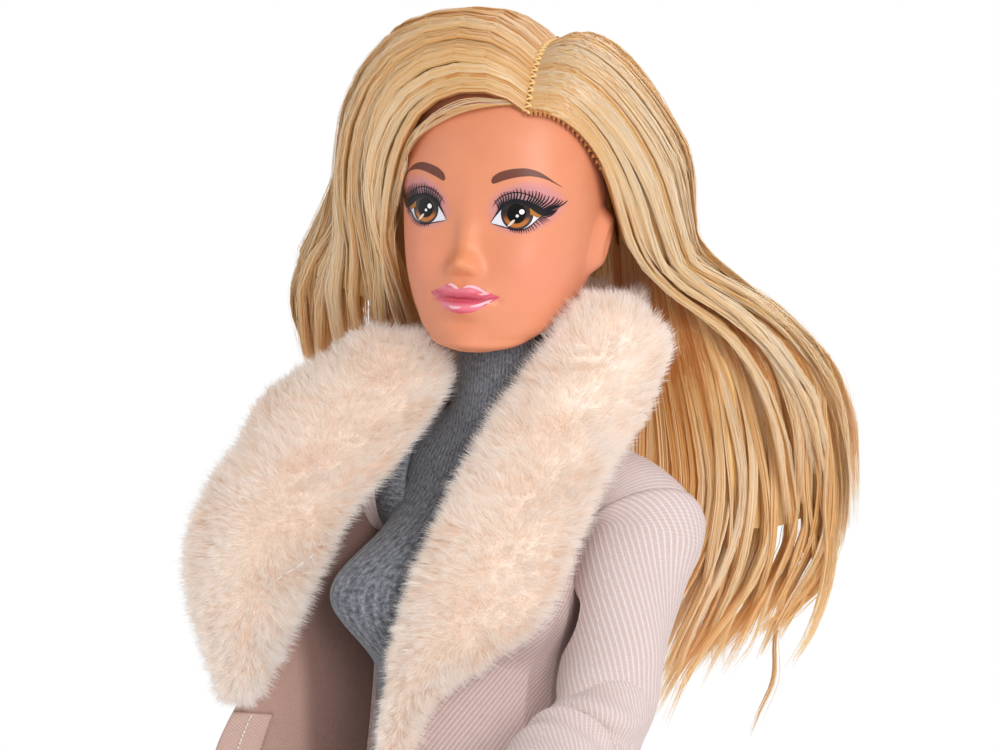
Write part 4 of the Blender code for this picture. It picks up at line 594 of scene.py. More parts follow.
HAIR_LEFT_GUIDES = (
    ((6.6, -10.8, 277.4), (9.4, -9.0, 277.0), (12.0, -6.2, 274.6), (13.8, -3.0, 270.6), (14.6, 0.4, 265.4),
     (15.4, 4.6, 260.0), (18.4, 10.6, 254.6), (24.5, 17.5, 249.0), (29.0, 22.0, 238.0), (30.5, 24.0, 224.0),
     (30.0, 24.0, 212.0)),
    ((6.0, -8.0, 281.2), (9.8, -7.6, 281.0), (13.4, -5.2, 278.0), (16.0, -1.6, 273.4), (18.0, 2.2, 267.6),
     (18.8, 6.8, 261.0), (20.0, 12.0, 255.4), (28.0, 19.5, 249.4), (34.0, 25.0, 239.0), (35.5, 27.0, 226.0),
     (35.5, 27.5, 213.0)),
    ((5.2, -4.0, 284.2), (9.4, -4.2, 284.8), (13.8, -2.4, 281.8), (17.4, 1.2, 276.6), (20.2, 5.0, 270.0),
     (20.2, 9.6, 262.6), (20.8, 15.0, 256.4), (29.4, 22.0, 250.2), (36.5, 28.0, 240.0), (38.0, 30.0, 227.0),
     (38.0, 30.5, 213.0)),
    ((4.6, 0.0, 285.8), (8.6, 0.6, 286.8), (13.2, 2.6, 284.0), (17.0, 6.0, 278.6), (19.8, 10.0, 271.6),
     (19.2, 14.0, 263.8), (19.4, 19.0, 256.6), (27.6, 26.5, 249.6), (34.0, 33.0, 239.0), (35.5, 36.0, 225.0),
     (34.5, 37.0, 210.0)),
    ((4.0, 4.0, 286.2), (7.4, 5.6, 287.0), (11.0, 8.6, 284.6), (14.2, 12.4, 279.0), (16.4, 16.4, 271.6),
     (16.4, 19.6, 263.4), (16.6, 25.0, 256.0), (22.5, 32.0, 247.0), (27.0, 38.0, 235.0), (28.0, 41.0, 220.0),
     (27.0, 42.0, 204.0)),
)
HAIR_BACK_GUIDES = (
    ((3.4, 7.6, 285.4), (-1.2, 8.4, 287.4), (-7.0, 8.8, 286.6), (-12.4, 9.0, 282.4), (-16.0, 9.4, 274.4),
     (-17.8, 11.0, 265.0), (-20.8, 14.8, 257.0), (-24.8, 19.8, 249.0), (-25.6, 25.0, 236.0),
     (-24.6, 28.4, 220.0), (-23.0, 30.0, 206.0)),
    ((3.4, 8.0, 285.4), (-1.0, 10.6, 286.8), (-5.6, 13.0, 284.6), (-9.4, 15.2, 279.4),
     (-12.0, 17.2, 272.0), (-14.4, 19.6, 263.6), (-17.6, 23.4, 255.6), (-20.4, 28.4, 247.0),
     (-21.4, 32.4, 235.0), (-20.6, 34.4, 220.0), (-19.4, 35.0, 206.0)),
    ((3.2, 9.0, 285.0), (0.6, 12.6, 285.6), (-1.6, 15.6, 282.8), (-3.4, 18.0, 277.4), (-4.6, 20.0, 270.0),
     (-6.0, 22.6, 262.0), (-8.6, 27.0, 254.4), (-10.4, 33.0, 245.0), (-10.8, 37.0, 232.0),
     (-10.0, 39.0, 217.0), (-9.4, 39.6, 202.0)),
    ((3.4, 9.0, 285.0), (4.0, 13.2, 285.2), (4.6, 16.6, 282.0), (5.0, 19.0, 276.4), (5.4, 21.0, 269.0),
     (5.6, 23.6, 261.2), (5.0, 28.6, 253.6), (4.6, 35.0, 244.0), (4.4, 39.0, 231.0), (4.8, 41.0, 215.0),
     (5.2, 41.6, 199.0)),
    ((4.0, 8.4, 285.2), (6.6, 11.6, 285.4), (9.4, 14.4, 282.2), (11.4, 17.0, 276.6), (12.8, 19.2, 269.4),
     (14.0, 22.0, 261.6), (15.6, 27.2, 253.8), (17.6, 34.0, 244.6), (19.4, 38.6, 231.6), (20.4, 40.8, 216.0),
     (20.0, 41.4, 198.0)),
    ((4.0, 4.6, 286.0), (7.2, 6.4, 286.4), (10.6, 9.4, 283.8), (13.6, 13.0, 278.4), (15.8, 16.8, 271.0),
     (15.9, 20.2, 262.8), (16.8, 25.6, 255.2), (20.4, 32.4, 246.0), (23.0, 37.6, 233.6), (23.6, 40.4, 218.0),
     (23.0, 41.4, 202.0)),
)
# Locks that stand apart: the sweep behind the left sleeve, the flare at the right, the outermost lock at the
# left, a thin one below it, the hair beside the right cheek and a few strays over the forehead
HAIR_SWEEP_GUIDES = (
    ((9.5, 14, 259.0), (9.5, 16, 244.0), (9.3, 19, 234.2), (9.8, 20, 224.7), (9.8, 20, 215.2),
     (8.6, 19, 206.1), (6.1, 18, 198.3)),
    ((16.5, 14, 259.0), (19.5, 17, 243.9), (20.5, 20, 234.2), (21.4, 21, 224.7), (20.4, 20, 215.2),
     (16.8, 19, 206.1), (13.1, 18, 198.3)),
    ((17.8, 13, 259.5), (23.0, 19, 244.0), (24.6, 22, 234.4), (25.2, 23, 224.8), (24.0, 22, 215.3),
     (19.8, 21, 205.4), (12.9, 20, 191.8)),
    ((18.6, 14, 259.0), (27.2, 21, 244.1), (28.7, 25, 234.4), (29.6, 26, 224.8), (28.8, 26, 215.9),
     (24.2, 24, 205.4), (16.8, 23, 195.9)),
    ((19.6, 15, 258.0), (30.7, 23, 245.6), (32.8, 27, 235.9), (34.0, 28, 226.3), (34.0, 28, 218.2),
     (30.9, 28, 210.3), (25.1, 27, 203.1)),
    ((20.4, 16, 257.0), (33.6, 25, 246.0), (36.2, 28, 236.0), (37.6, 28, 226.0), (37.8, 28, 217.0),
     (34.0, 28, 208.0), (27.0, 27, 198.6)),
)
HAIR_FLARE_GUIDES = (
    ((-24.0, 4, 267.5), (-27.2, 6, 263.1), (-32.3, 9, 257.8), (-36.4, 12, 251.8), (-37.3, 14, 245.6),
     (-35.1, 15, 240.4)),
    ((-23.0, 3, 264.9), (-26.4, 5, 260.8), (-30.2, 8, 256.0), (-33.6, 10, 250.4), (-34.5, 12, 244.7),
     (-33.3, 13, 240.0)),
    ((-22.0, 2, 263.0), (-24.7, 4, 259.1), (-27.5, 6, 254.7), (-29.7, 8, 249.7), (-30.5, 10, 244.6),
     (-29.0, 11, 240.5)),
)
HAIR_OUTER_GUIDES = (
    ((19.4, 13, 269.6), (19.8, 16, 260.6), (24.6, 20.5, 254.0), (33.0, 26, 246.2), (36.4, 28, 236.1),
     (38.0, 29, 225.2), (38.6, 29, 213.3)),
    ((19.8, 12, 268.3), (20.6, 15, 259.6), (26.4, 19.5, 253.0), (34.8, 25, 244.4), (37.4, 27, 233.5),
     (37.9, 28, 222.6), (37.2, 28, 211.6)),
)
HAIR_THIN_GUIDE = ((32.7, 28, 216.7), (29.7, 28, 210.9), (29.1, 28, 205.3), (29.1, 28, 199.8),
                   (27.0, 27, 194.9), (25.2, 27, 190.6))
HAIR_CHEEK_GUIDES = (
    ((-17.0, 1, 275), (-18.5, 3, 266), (-19.8, 4.5, 258), (-20.4, 6, 250), (-20.0, 8, 241)),
    ((-14.5, 2, 275), (-16.0, 4, 266), (-17.0, 5.5, 258), (-17.4, 7, 250), (-17.0, 9, 241)),
    ((-12.0, 5, 275), (-13.0, 7, 266), (-14.0, 8.5, 258), (-14.5, 10, 250), (-14.0, 12, 241)),
)
HAIR_STRAY_GUIDES = (
    ((5.2, -11, 278.2), (0.6, -12.5, 278.2), (-5.2, -12, 276.9), (-9.3, -11.5, 273.5), (-11.3, -10.5, 268.9),
     (-12.7, -9, 263.5), (-14.1, -6, 258.0)),
    ((4.7, -11.5, 278.4), (-0.6, -12.8, 277.4), (-6.3, -12, 274.7), (-9.5, -11.5, 271.7),
     (-11.5, -10.5, 266.3), (-13.6, -8, 260.1), (-13.6, -5, 254.6)),
    ((3.9, -12, 278.9), (-1.7, -13, 278.7), (-7.1, -12.4, 275.5), (-10.4, -11.4, 270.3), (-13.1, -9.5, 264.8),
     (-13.1, -7, 259.4), (-13.1, -4, 253.2)),
)
HAIR_AXIS = np.array((2, 8, 262))
SHEET_ROWS = 96


def guide_sheet(guides, rows=SHEET_ROWS, columns=SHEET_ROWS):
    """A smooth sheet through guides with the same number of points, and its outward directions: rows run
    from root to tip, columns from the first guide to the last."""
    guides = np.array(guides, float)
    count, steps = guides.shape[:2]
    table = np.column_stack([np.linspace(0, 1, count), guides.reshape(count, -1)])
    lanes = smooth_rows(np.linspace(0, 1, columns), table).reshape(steps, 3, columns)
    table = np.column_stack([np.linspace(0, 1, steps), lanes.reshape(steps, -1)])
    sheet = smooth_rows(np.linspace(0, 1, rows), table).reshape(3, columns, rows).transpose(2, 1, 0)
    out = np.cross(np.gradient(sheet, axis=0), np.gradient(sheet, axis=1))
    out /= np.linalg.norm(out, axis=-1, keepdims=True) + 1e-9
    return sheet, out * np.sign(np.mean(np.sum(out * (sheet - HAIR_AXIS), -1)))


def sample(sheet, along, across):
    """Places of a sheet between its rows and columns, both counted from 0 to 1."""
    row = np.clip(along, 0, 1) * (len(sheet) - 1.001)
    column = np.clip(across, 0, 1) * (sheet.shape[1] - 1.001)
    i, j = row.astype(int), column.astype(int)
    row, column = (row - i)[..., None], (column - j)[..., None]
    near = (1 - column) * sheet[i, j] + column * sheet[i, j + 1]
    return (1 - row) * near + row * ((1 - column) * sheet[i + 1, j] + column * sheet[i + 1, j + 1])


def unit(vectors):
    """The same directions at length 1."""
    return vectors / (np.linalg.norm(vectors, axis=-1, keepdims=True) + 1e-9)


def ribbons(name, paths, facing, width, tone, finish, body="head"):
    """Fine ribbons along paths (strand, step, place): each tapers at both ends, and its tone goes to the
    shader."""
    count, steps = paths.shape[:2]
    side = unit(np.cross(unit(np.gradient(paths, axis=1)), facing))
    run = np.linspace(0, 1, steps)
    half = 0.5 * width[:, None] * np.clip(np.minimum(run * 12 + 0.4, (1 - run) * 5 + 0.15), 0, 1)
    points = np.stack([paths - side * half[..., None], paths + side * half[..., None]], 2)
    index = np.arange(count * steps * 2).reshape(count, steps, 2)
    faces = np.stack([index[:, :-1, 0], index[:, :-1, 1], index[:, 1:, 1], index[:, 1:, 0]], -1)
    places = np.stack(np.broadcast_arrays(tone[:, None], run), -1)
    corners = np.stack([places[:, :-1], places[:, :-1], places[:, 1:], places[:, 1:]], 2)
    thing = piece(name, points, faces.reshape(-1, 4), finish, corners)
    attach(thing, body)
    return thing


def thread(name, paths, radius, finish, body):
    """Round threads along paths (thread, point, place), six points round, thinner at both ends."""
    way = unit(np.gradient(paths, axis=1))
    side = unit(np.cross(way, np.array((0.3, 0.2, 1.0))))
    other = np.cross(way, side)
    count, steps = paths.shape[:2]
    t = np.linspace(0, math.tau, 7)[:-1]
    half = radius * np.interp(np.linspace(0, 1, steps), (0, 0.15, 0.85, 1), (0.35, 1, 1, 0.35))
    around = np.cos(t)[:, None] * side[:, :, None] + np.sin(t)[:, None] * other[:, :, None]
    points = paths[:, :, None] + half[None, :, None, None] * around
    index = np.arange(count * steps * 6).reshape(count, steps, 6)
    turn = np.roll(index, -1, 2)
    faces = np.stack([index[:, :-1], turn[:, :-1], turn[:, 1:], index[:, 1:]], -1).reshape(-1, 4)
    around = np.broadcast_to(np.arange(6.0), (count, steps - 1, 6))
    corners = np.stack([np.stack([around + 0.1 * k, around], -1) for k in range(4)], -2)
    thing = piece(name, points.reshape(-1, 3), faces, finish, corners.reshape(-1, 2))
    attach(thing, body)
    return thing


def mass(name, guides, count, seed, locks, thick=1.5, gather=0.75, wave=0.9, ragged=0.25, width=0.15,
         steps=16, both_sides=0.0, under=True, shade=0.55):
    """Strands over a guide sheet. A strand runs at across = lane + gather * along^2 * (middle - lane), plus its
    lock's wave, where middle is its lock's. Towards the tips it stands lower the further it is from there."""
    random = np.random.default_rng(seed)
    sheet, out = guide_sheet(guides)
    lane = random.random(count)
    inner_edges = np.linspace(0, 1, locks + 1)[1:-1] + random.normal(0, 0.25 / locks, locks - 1)
    edges = np.sort(np.r_[0, inner_edges, 1])
    group = np.clip(np.searchsorted(edges, lane) - 1, 0, locks - 1)
    middle = (edges[group] + edges[group + 1]) / 2
    half = (edges[group + 1] - edges[group]) / 2 + 1e-6
    off = np.clip((lane - middle) / half, -1, 1)
    run = np.linspace(0, 1, steps)
    end = 1 - ragged * (0.35 * random.random(locks)[group] + 0.65 * random.random(count) ** 1.3)
    along = run * end[:, None]
    group_phase = random.random(locks)[group] * math.tau
    group_turns = random.uniform(1.0, 1.8, locks)[group]
    own = random.random(count) * math.tau
    across = lane[:, None] + gather * (middle - lane)[:, None] * along**2
    sway = np.sin(group_phase[:, None] + math.tau * group_turns[:, None] * along)
    sway = sway * along * (0.7 + 0.9 * along**2)
    flyaway = 1 + 5 * (random.random(count) < 0.03)
    own_wave = np.sin(own[:, None] + 9 * along + 3 * np.sin(own[:, None] + 4 * along))
    wobble = 0.10 * flyaway[:, None] * own_wave * along
    layer = random.random(count) ** 0.7
    round_share = np.clip(1.3 * along - 0.25, 0, 1)
    rounding = round_share * (1 - np.sqrt(1 - off**2))[:, None] * 0.42
    height = thick * (0.5 + 0.5 * np.clip(2 * along, 0, 1)) * (1 - rounding) * layer[:, None]
    height = height * np.clip(along * 6 + 0.08, 0, 1)
    inner = (random.random(count) < both_sides)[:, None]
    height = np.where(inner, -0.5 - height * np.clip(along * 3 - 0.6, 0, 1), height)
    height = height + (random.uniform(-0.35, 0.45, locks)[group])[:, None] * np.clip(along * 2.5, 0, 1)
    height = height + 0.35 * (flyaway[:, None] - 1) / 5 * along * 2
    normal = sample(out, along, across)
    paths = sample(sheet, along, across) + normal * (height + 0.5 * wave * sway)[..., None]
    sideways = unit(np.cross(unit(np.gradient(paths, axis=1)), normal))
    paths = paths + sideways * (wave * sway + wobble)[..., None]
    lean = 0.22 * off + random.normal(0, 0.24, count)
    facing = normal * np.cos(lean)[:, None, None] + sideways * np.sin(lean)[:, None, None]
    # Painted shade: strands lying deeper in the mass, on its inner side and at a lock's edges are darker
    tone = np.clip(shade + 0.11 * random.normal(0, 1, locks)[group] + 0.16 * random.normal(0, 1, count)
                   + 0.30 * (layer - 0.6) - 0.05 * off**2 - 0.25 * inner[:, 0], 0.01, 0.99)
    widths = width * random.uniform(0.6, 1.3, count)
    strands = ribbons(name, paths, facing, widths, tone, fibre)
    if not under:
        return strands
    packed_rows = round(SHEET_ROWS - SHEET_ROWS * ragged)
    thing = surface(f"{name}_packed", (sheet - 0.25 * out)[:packed_rows:2, ::2], packed)
    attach(thing, "head")
    return thing


HAIR_TONES = [(0.0, tint(198, 122, 52)), (0.26, tint(232, 176, 100)), (0.50, tint(250, 212, 146)),
              (0.75, tint(255, 234, 186)), (1.0, tint(255, 248, 224))]


def let_through(material, shader, colour, share):
    """Thin fibre lets part of the light through to its other side."""
    tree = material.node_tree
    solid = Sum(tree, shader.outputs[0])
    glow = solid.node("ShaderNodeBsdfTranslucent", {}, {"Color": colour})
    both = solid.node("ShaderNodeMixShader", {}, {0: share, 1: solid, 2: glow})
    tree.links.new(both.socket, tree.nodes["Material Output"].inputs["Surface"])


fibre, fibre_shader, place = finish_named("hair_fibre")
tone = place.node("ShaderNodeUVMap", {"uv_map": "length"}, {})
u, v, _ = tone.parts()
cloud = place.node("ShaderNodeTexNoise", {}, {"Vector": place, "Scale": 0.12, "Detail": 2.0})
# Painted shade: darker and warmer where the hair lies shut in between the collar and the head
# Painted light: the hair is paler towards the tips
x, y, z = place.parts()
collar_shade = ((x - 17) * (x - 17) * 0.018 + (y - 15) * (y - 15) * 0.012 + (z - 245) * (z - 245) * 0.007)
collar_shade = collar_shade.math("MULTIPLY", -1).math("EXPONENT")
hair_tone = u + (cloud - 0.5) * 0.30 - collar_shade * 0.30 + v.ramp(0.15, 0.6) * 0.24
hair_colour = u.node("ShaderNodeValToRGB", {"stops": HAIR_TONES}, {0: hair_tone})
connect(fibre_shader, Base_Color=hair_colour, Roughness=0.36, Specular_IOR_Level=0.85, Coat_Weight=0.25,
        Coat_Roughness=0.32)
let_through(fibre, fibre_shader, tint(255, 218, 158), 0.42)
packed, packed_shader, place = finish_named("packed_fibre")
lane, length, _ = place.node("ShaderNodeUVMap", {"uv_map": "length"}, {}).parts()
fine = place.node("ShaderNodeCombineXYZ", {}, {0: lane * 5.0, 1: length * 0.12})
grain = place.node("ShaderNodeTexNoise", {}, {"Vector": fine, "Scale": 1.0, "Detail": 3.0})
packed_tone = grain.ramp(0.25, 0.8) * 0.5 + 0.22
packed_colour = grain.node("ShaderNodeValToRGB", {"stops": HAIR_TONES}, {0: packed_tone})
connect(packed_shader, Base_Color=packed_colour, Roughness=0.5,
        Normal=grain.node("ShaderNodeBump", {}, {"Height": grain, "Strength": 0.6, "Distance": 0.15 * MM}))

# Each mass's shade is its base tone: the hair's colour, set darker beside the cheek and on the doll's right as
# painted shade, and lighter on the outer and thin locks as painted light
right_hair = mass("hair_swept_right", HAIR_RIGHT_GUIDES, 7000, 11, 20, thick=1.2, gather=0.5, ragged=0.14,
                  steps=14, both_sides=0.12, shade=0.44)
left_hair = mass("hair_swept_left", HAIR_LEFT_GUIDES, 7000, 12, 19, thick=1.4, gather=0.5, wave=1.1,
                 ragged=0.42, steps=14, both_sides=0.2, shade=0.62)
back_hair = mass("hair_fallen_back", HAIR_BACK_GUIDES, 7500, 13, 36, thick=2.0, gather=0.55, wave=1.2,
                 ragged=0.3, steps=13, both_sides=0.4, shade=0.54)
mass("hair_beside_cheek", HAIR_CHEEK_GUIDES, 900, 19, 6, thick=1.0, gather=0.4, wave=0.4, ragged=0.1,
     steps=12, shade=0.3)
mass("hair_sweep_lock", HAIR_SWEEP_GUIDES, 4800, 14, 24, thick=2.0, gather=0.5, wave=1.5, ragged=0.42,
     steps=14, both_sides=0.3, shade=0.60)
mass("hair_flare_lock", HAIR_FLARE_GUIDES, 900, 15, 4, thick=1.0, gather=0.85, wave=0.5, ragged=0.1,
     under=False)
mass("hair_outer_lock", HAIR_OUTER_GUIDES, 700, 16, 3, thick=1.2, gather=0.6, wave=0.6, ragged=0.4,
     under=False, shade=0.70)
mass("hair_strays", HAIR_STRAY_GUIDES, 46, 17, 9, thick=0.5, gather=0.3, wave=0.3, ragged=0.5, width=0.10,
     under=False)
thin = np.array(HAIR_THIN_GUIDE, float)
thin_lock = np.stack([thin + (0.0, 1.0, 0.0), thin + (0.9, -0.6, 0.2)])
mass("hair_thin_lock", thin_lock, 90, 18, 2, thick=0.6, gather=0.7, wave=0.5, ragged=0.5, width=0.13,
     under=False, shade=0.80)
# Root plugs: short crossed tufts sewn along the part and along the hairline
root_fibre, root_shader, place = finish_named("root_fibre")
grain = place.node("ShaderNodeTexNoise", {}, {"Vector": place, "Scale": 1.4, "Detail": 3.0})
connect(root_shader, Base_Color=grain.mix(tint(168, 96, 42), tint(222, 158, 92)), Roughness=0.5,
        Normal=grain.node("ShaderNodeBump", {}, {"Height": grain, "Strength": 0.6, "Distance": 0.15 * MM}))


def plug_row(name, points, count, lift, radius, finish):
    """Plugs of fibre sewn along a line: short arcs across it, leaning to and fro by turns."""
    table = np.column_stack([np.linspace(0, 1, len(points)), points])
    at = smooth_rows(np.linspace(0, 1, count), table).T
    line = unit(np.gradient(at, axis=0))
    across = unit(np.cross(line, at - HAIR_AXIS))
    slant = np.where(np.arange(count) % 2, 0.3, -0.3)[:, None, None]
    arc = np.linspace(-1, 1, 7)[None, :, None]
    reach = 3.1 * radius
    paths = at[:, None] + across[:, None] * (reach * arc) + line[:, None] * (arc * slant)
    paths = paths + unit(at - HAIR_AXIS)[:, None] * (lift - 0.72 * reach * arc**2)
    plugs = thread(name, paths, radius, finish, "head")


roots = np.array([(np.array(a[0]) + b[0]) / 2 for a, b in zip(HAIR_RIGHT_GUIDES, HAIR_LEFT_GUIDES)])
plug_row("hair_part_plugs", roots, 34, 0.22, 0.20, packed)
plug_row("hair_hairline_plugs", np.array(HAIR_LEFT_GUIDES[0][:4]), 34, 0.40, 0.17, root_fibre)
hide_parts("hair_crown", "hair_right")
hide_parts("hair_left")
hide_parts("hair_back")


# Fur collar: cream faux fur on a padded sheet, sewn along the neck edge. The pile is dense short ribbons in
# small tufts; it parts along the middle of each lapel and leans out to both of its edges.
SHOULDER_HALF = 20
HIP_Z, TRUNK_LENGTH = 154, 92
FUR_ROWS, FUR_COLUMNS = 70, 60
# Level on the trunk, then x and y of four plan points from the roll line to the outer edge
LEFT_LAPEL_SHARES = (
    (0.400, -0.28, -1.14, -0.24, -1.15, -0.18, -1.15, -0.12, -1.13),
    (0.530, -0.24, -1.12, -0.10, -1.16, 0.02, -1.15, 0.16, -1.11),
    (0.650, -0.16, -1.05, 0.12, -1.12, 0.50, -1.18, 0.80, -0.93),
    (0.750, -0.06, -0.86, 0.25, -0.92, 0.62, -0.84, 0.88, -0.62),
    (0.830, 0.02, -0.62, 0.35, -0.62, 0.72, -0.56, 0.98, -0.44),
    (0.900, 0.16, -0.48, 0.44, -0.50, 0.82, -0.38, 1.04, -0.04),
    (0.960, 0.34, -0.40, 0.56, -0.44, 0.90, -0.28, 1.10, 0.10),
    (1.020, 0.52, -0.34, 0.70, -0.34, 0.96, -0.16, 1.12, 0.22),
    (1.075, 0.62, -0.22, 0.70, -0.16, 0.78, -0.04, 0.84, 0.12),
)
RIGHT_LAPEL_SHARES = (
    (0.480, -1.46, -0.72, -1.52, -0.73, -1.58, -0.73, -1.64, -0.73),
    (0.560, -1.24, -0.77, -1.40, -0.82, -1.60, -0.83, -1.76, -0.81),
    (0.670, -0.98, -0.83, -1.28, -0.92, -1.62, -0.92, -1.86, -0.85),
    (0.760, -0.74, -0.87, -1.12, -0.95, -1.52, -0.88, -1.80, -0.73),
    (0.830, -0.52, -0.66, -0.93, -0.76, -1.36, -0.70, -1.66, -0.54),
    (0.895, -0.38, -0.48, -0.80, -0.60, -1.30, -0.52, -1.60, -0.24),
    (0.955, -0.26, -0.42, -0.60, -0.48, -0.95, -0.40, -1.20, -0.20),
    (1.010, -0.40, -0.38, -0.55, -0.38, -0.72, -0.34, -0.86, -0.22),
)
COLLAR_BACK_SHARES = (
    (0.945, -0.50, 0.10, -0.58, 0.62, 0.58, 0.62, 0.50, 0.10),
    (0.985, -0.62, 0.12, -0.72, 0.84, 0.74, 0.86, 0.60, 0.26),
    (1.030, -0.76, 0.12, -0.82, 0.98, 0.84, 0.98, 0.68, 0.36),
    (1.080, -0.78, 0.14, -0.82, 1.02, 0.84, 1.02, 0.68, 0.38),
)


def plan_sheet(table, rows, columns, outward):
    """Cloth hung on plan curves: at each level a cubic curve of four plan points. Also its facing
    directions."""
    at = np.linspace(table[0][0], table[-1][0], rows)
    corners = smooth_rows(at, table).reshape(4, 2, rows)
    t = np.linspace(0, 1, columns)
    weights = np.stack([(1 - t) ** 3, 3 * t * (1 - t) ** 2, 3 * t * t * (1 - t), t**3])
    plan = SHOULDER_HALF * np.einsum("kcr,kn->rnc", corners, weights)
    height = np.broadcast_to((HIP_Z + TRUNK_LENGTH * at)[:, None, None], (rows, columns, 1))
    points = np.concatenate([plan, height], -1)
    return points, outward * unit(np.cross(np.gradient(points, axis=1), np.gradient(points, axis=0)))


def weld(thing):
    """Joins points that lie on each other, where a surface closes."""
    mesh = bmesh.new()
    mesh.from_mesh(thing.data)
    bmesh.ops.remove_doubles(mesh, verts=mesh.verts, dist=1e-7)
    mesh.to_mesh(thing.data)
    mesh.free()


def shell(name, inner, outer, finish, body, welded=True):
    """A closed sheet between two grids, pinched shut at its ends."""
    middle = (inner + outer) / 2
    pairs = ((middle[:1], middle[:1]), (outer, inner), (middle[-1:], middle[-1:]))
    ring = [np.concatenate([front, behind[:, ::-1]], 1) for front, behind in pairs]
    thing = surface(name, np.concatenate(ring), finish, closed=True)
    if welded:
        weld(thing)
    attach(thing, body)
    return thing


def inset(sheet, out, margins, rows=FUR_ROWS, columns=FUR_COLUMNS):
    """The sheet without margins, in millimetres, at its roll line, outer edge and ends: the pile fills them
    again."""
    inner, outer, end = margins
    width = np.linalg.norm(np.diff(sheet, axis=1), axis=-1).sum(1)
    height = np.linalg.norm(np.diff(sheet, axis=0), axis=-1).sum(0).mean()
    along = end / height + (1 - 2 * end / height) * np.linspace(0, 1, rows)
    width = np.interp(along, np.linspace(0, 1, len(width)), width)[:, None]
    inner, outer = np.minimum(inner / width, 0.3), np.minimum(outer / width, 0.36)
    across = inner + (1 - inner - outer) * np.linspace(0, 1, columns)
    along = np.broadcast_to(along[:, None], across.shape)
    return sample(sheet, along, across), unit(sample(out, along, across))


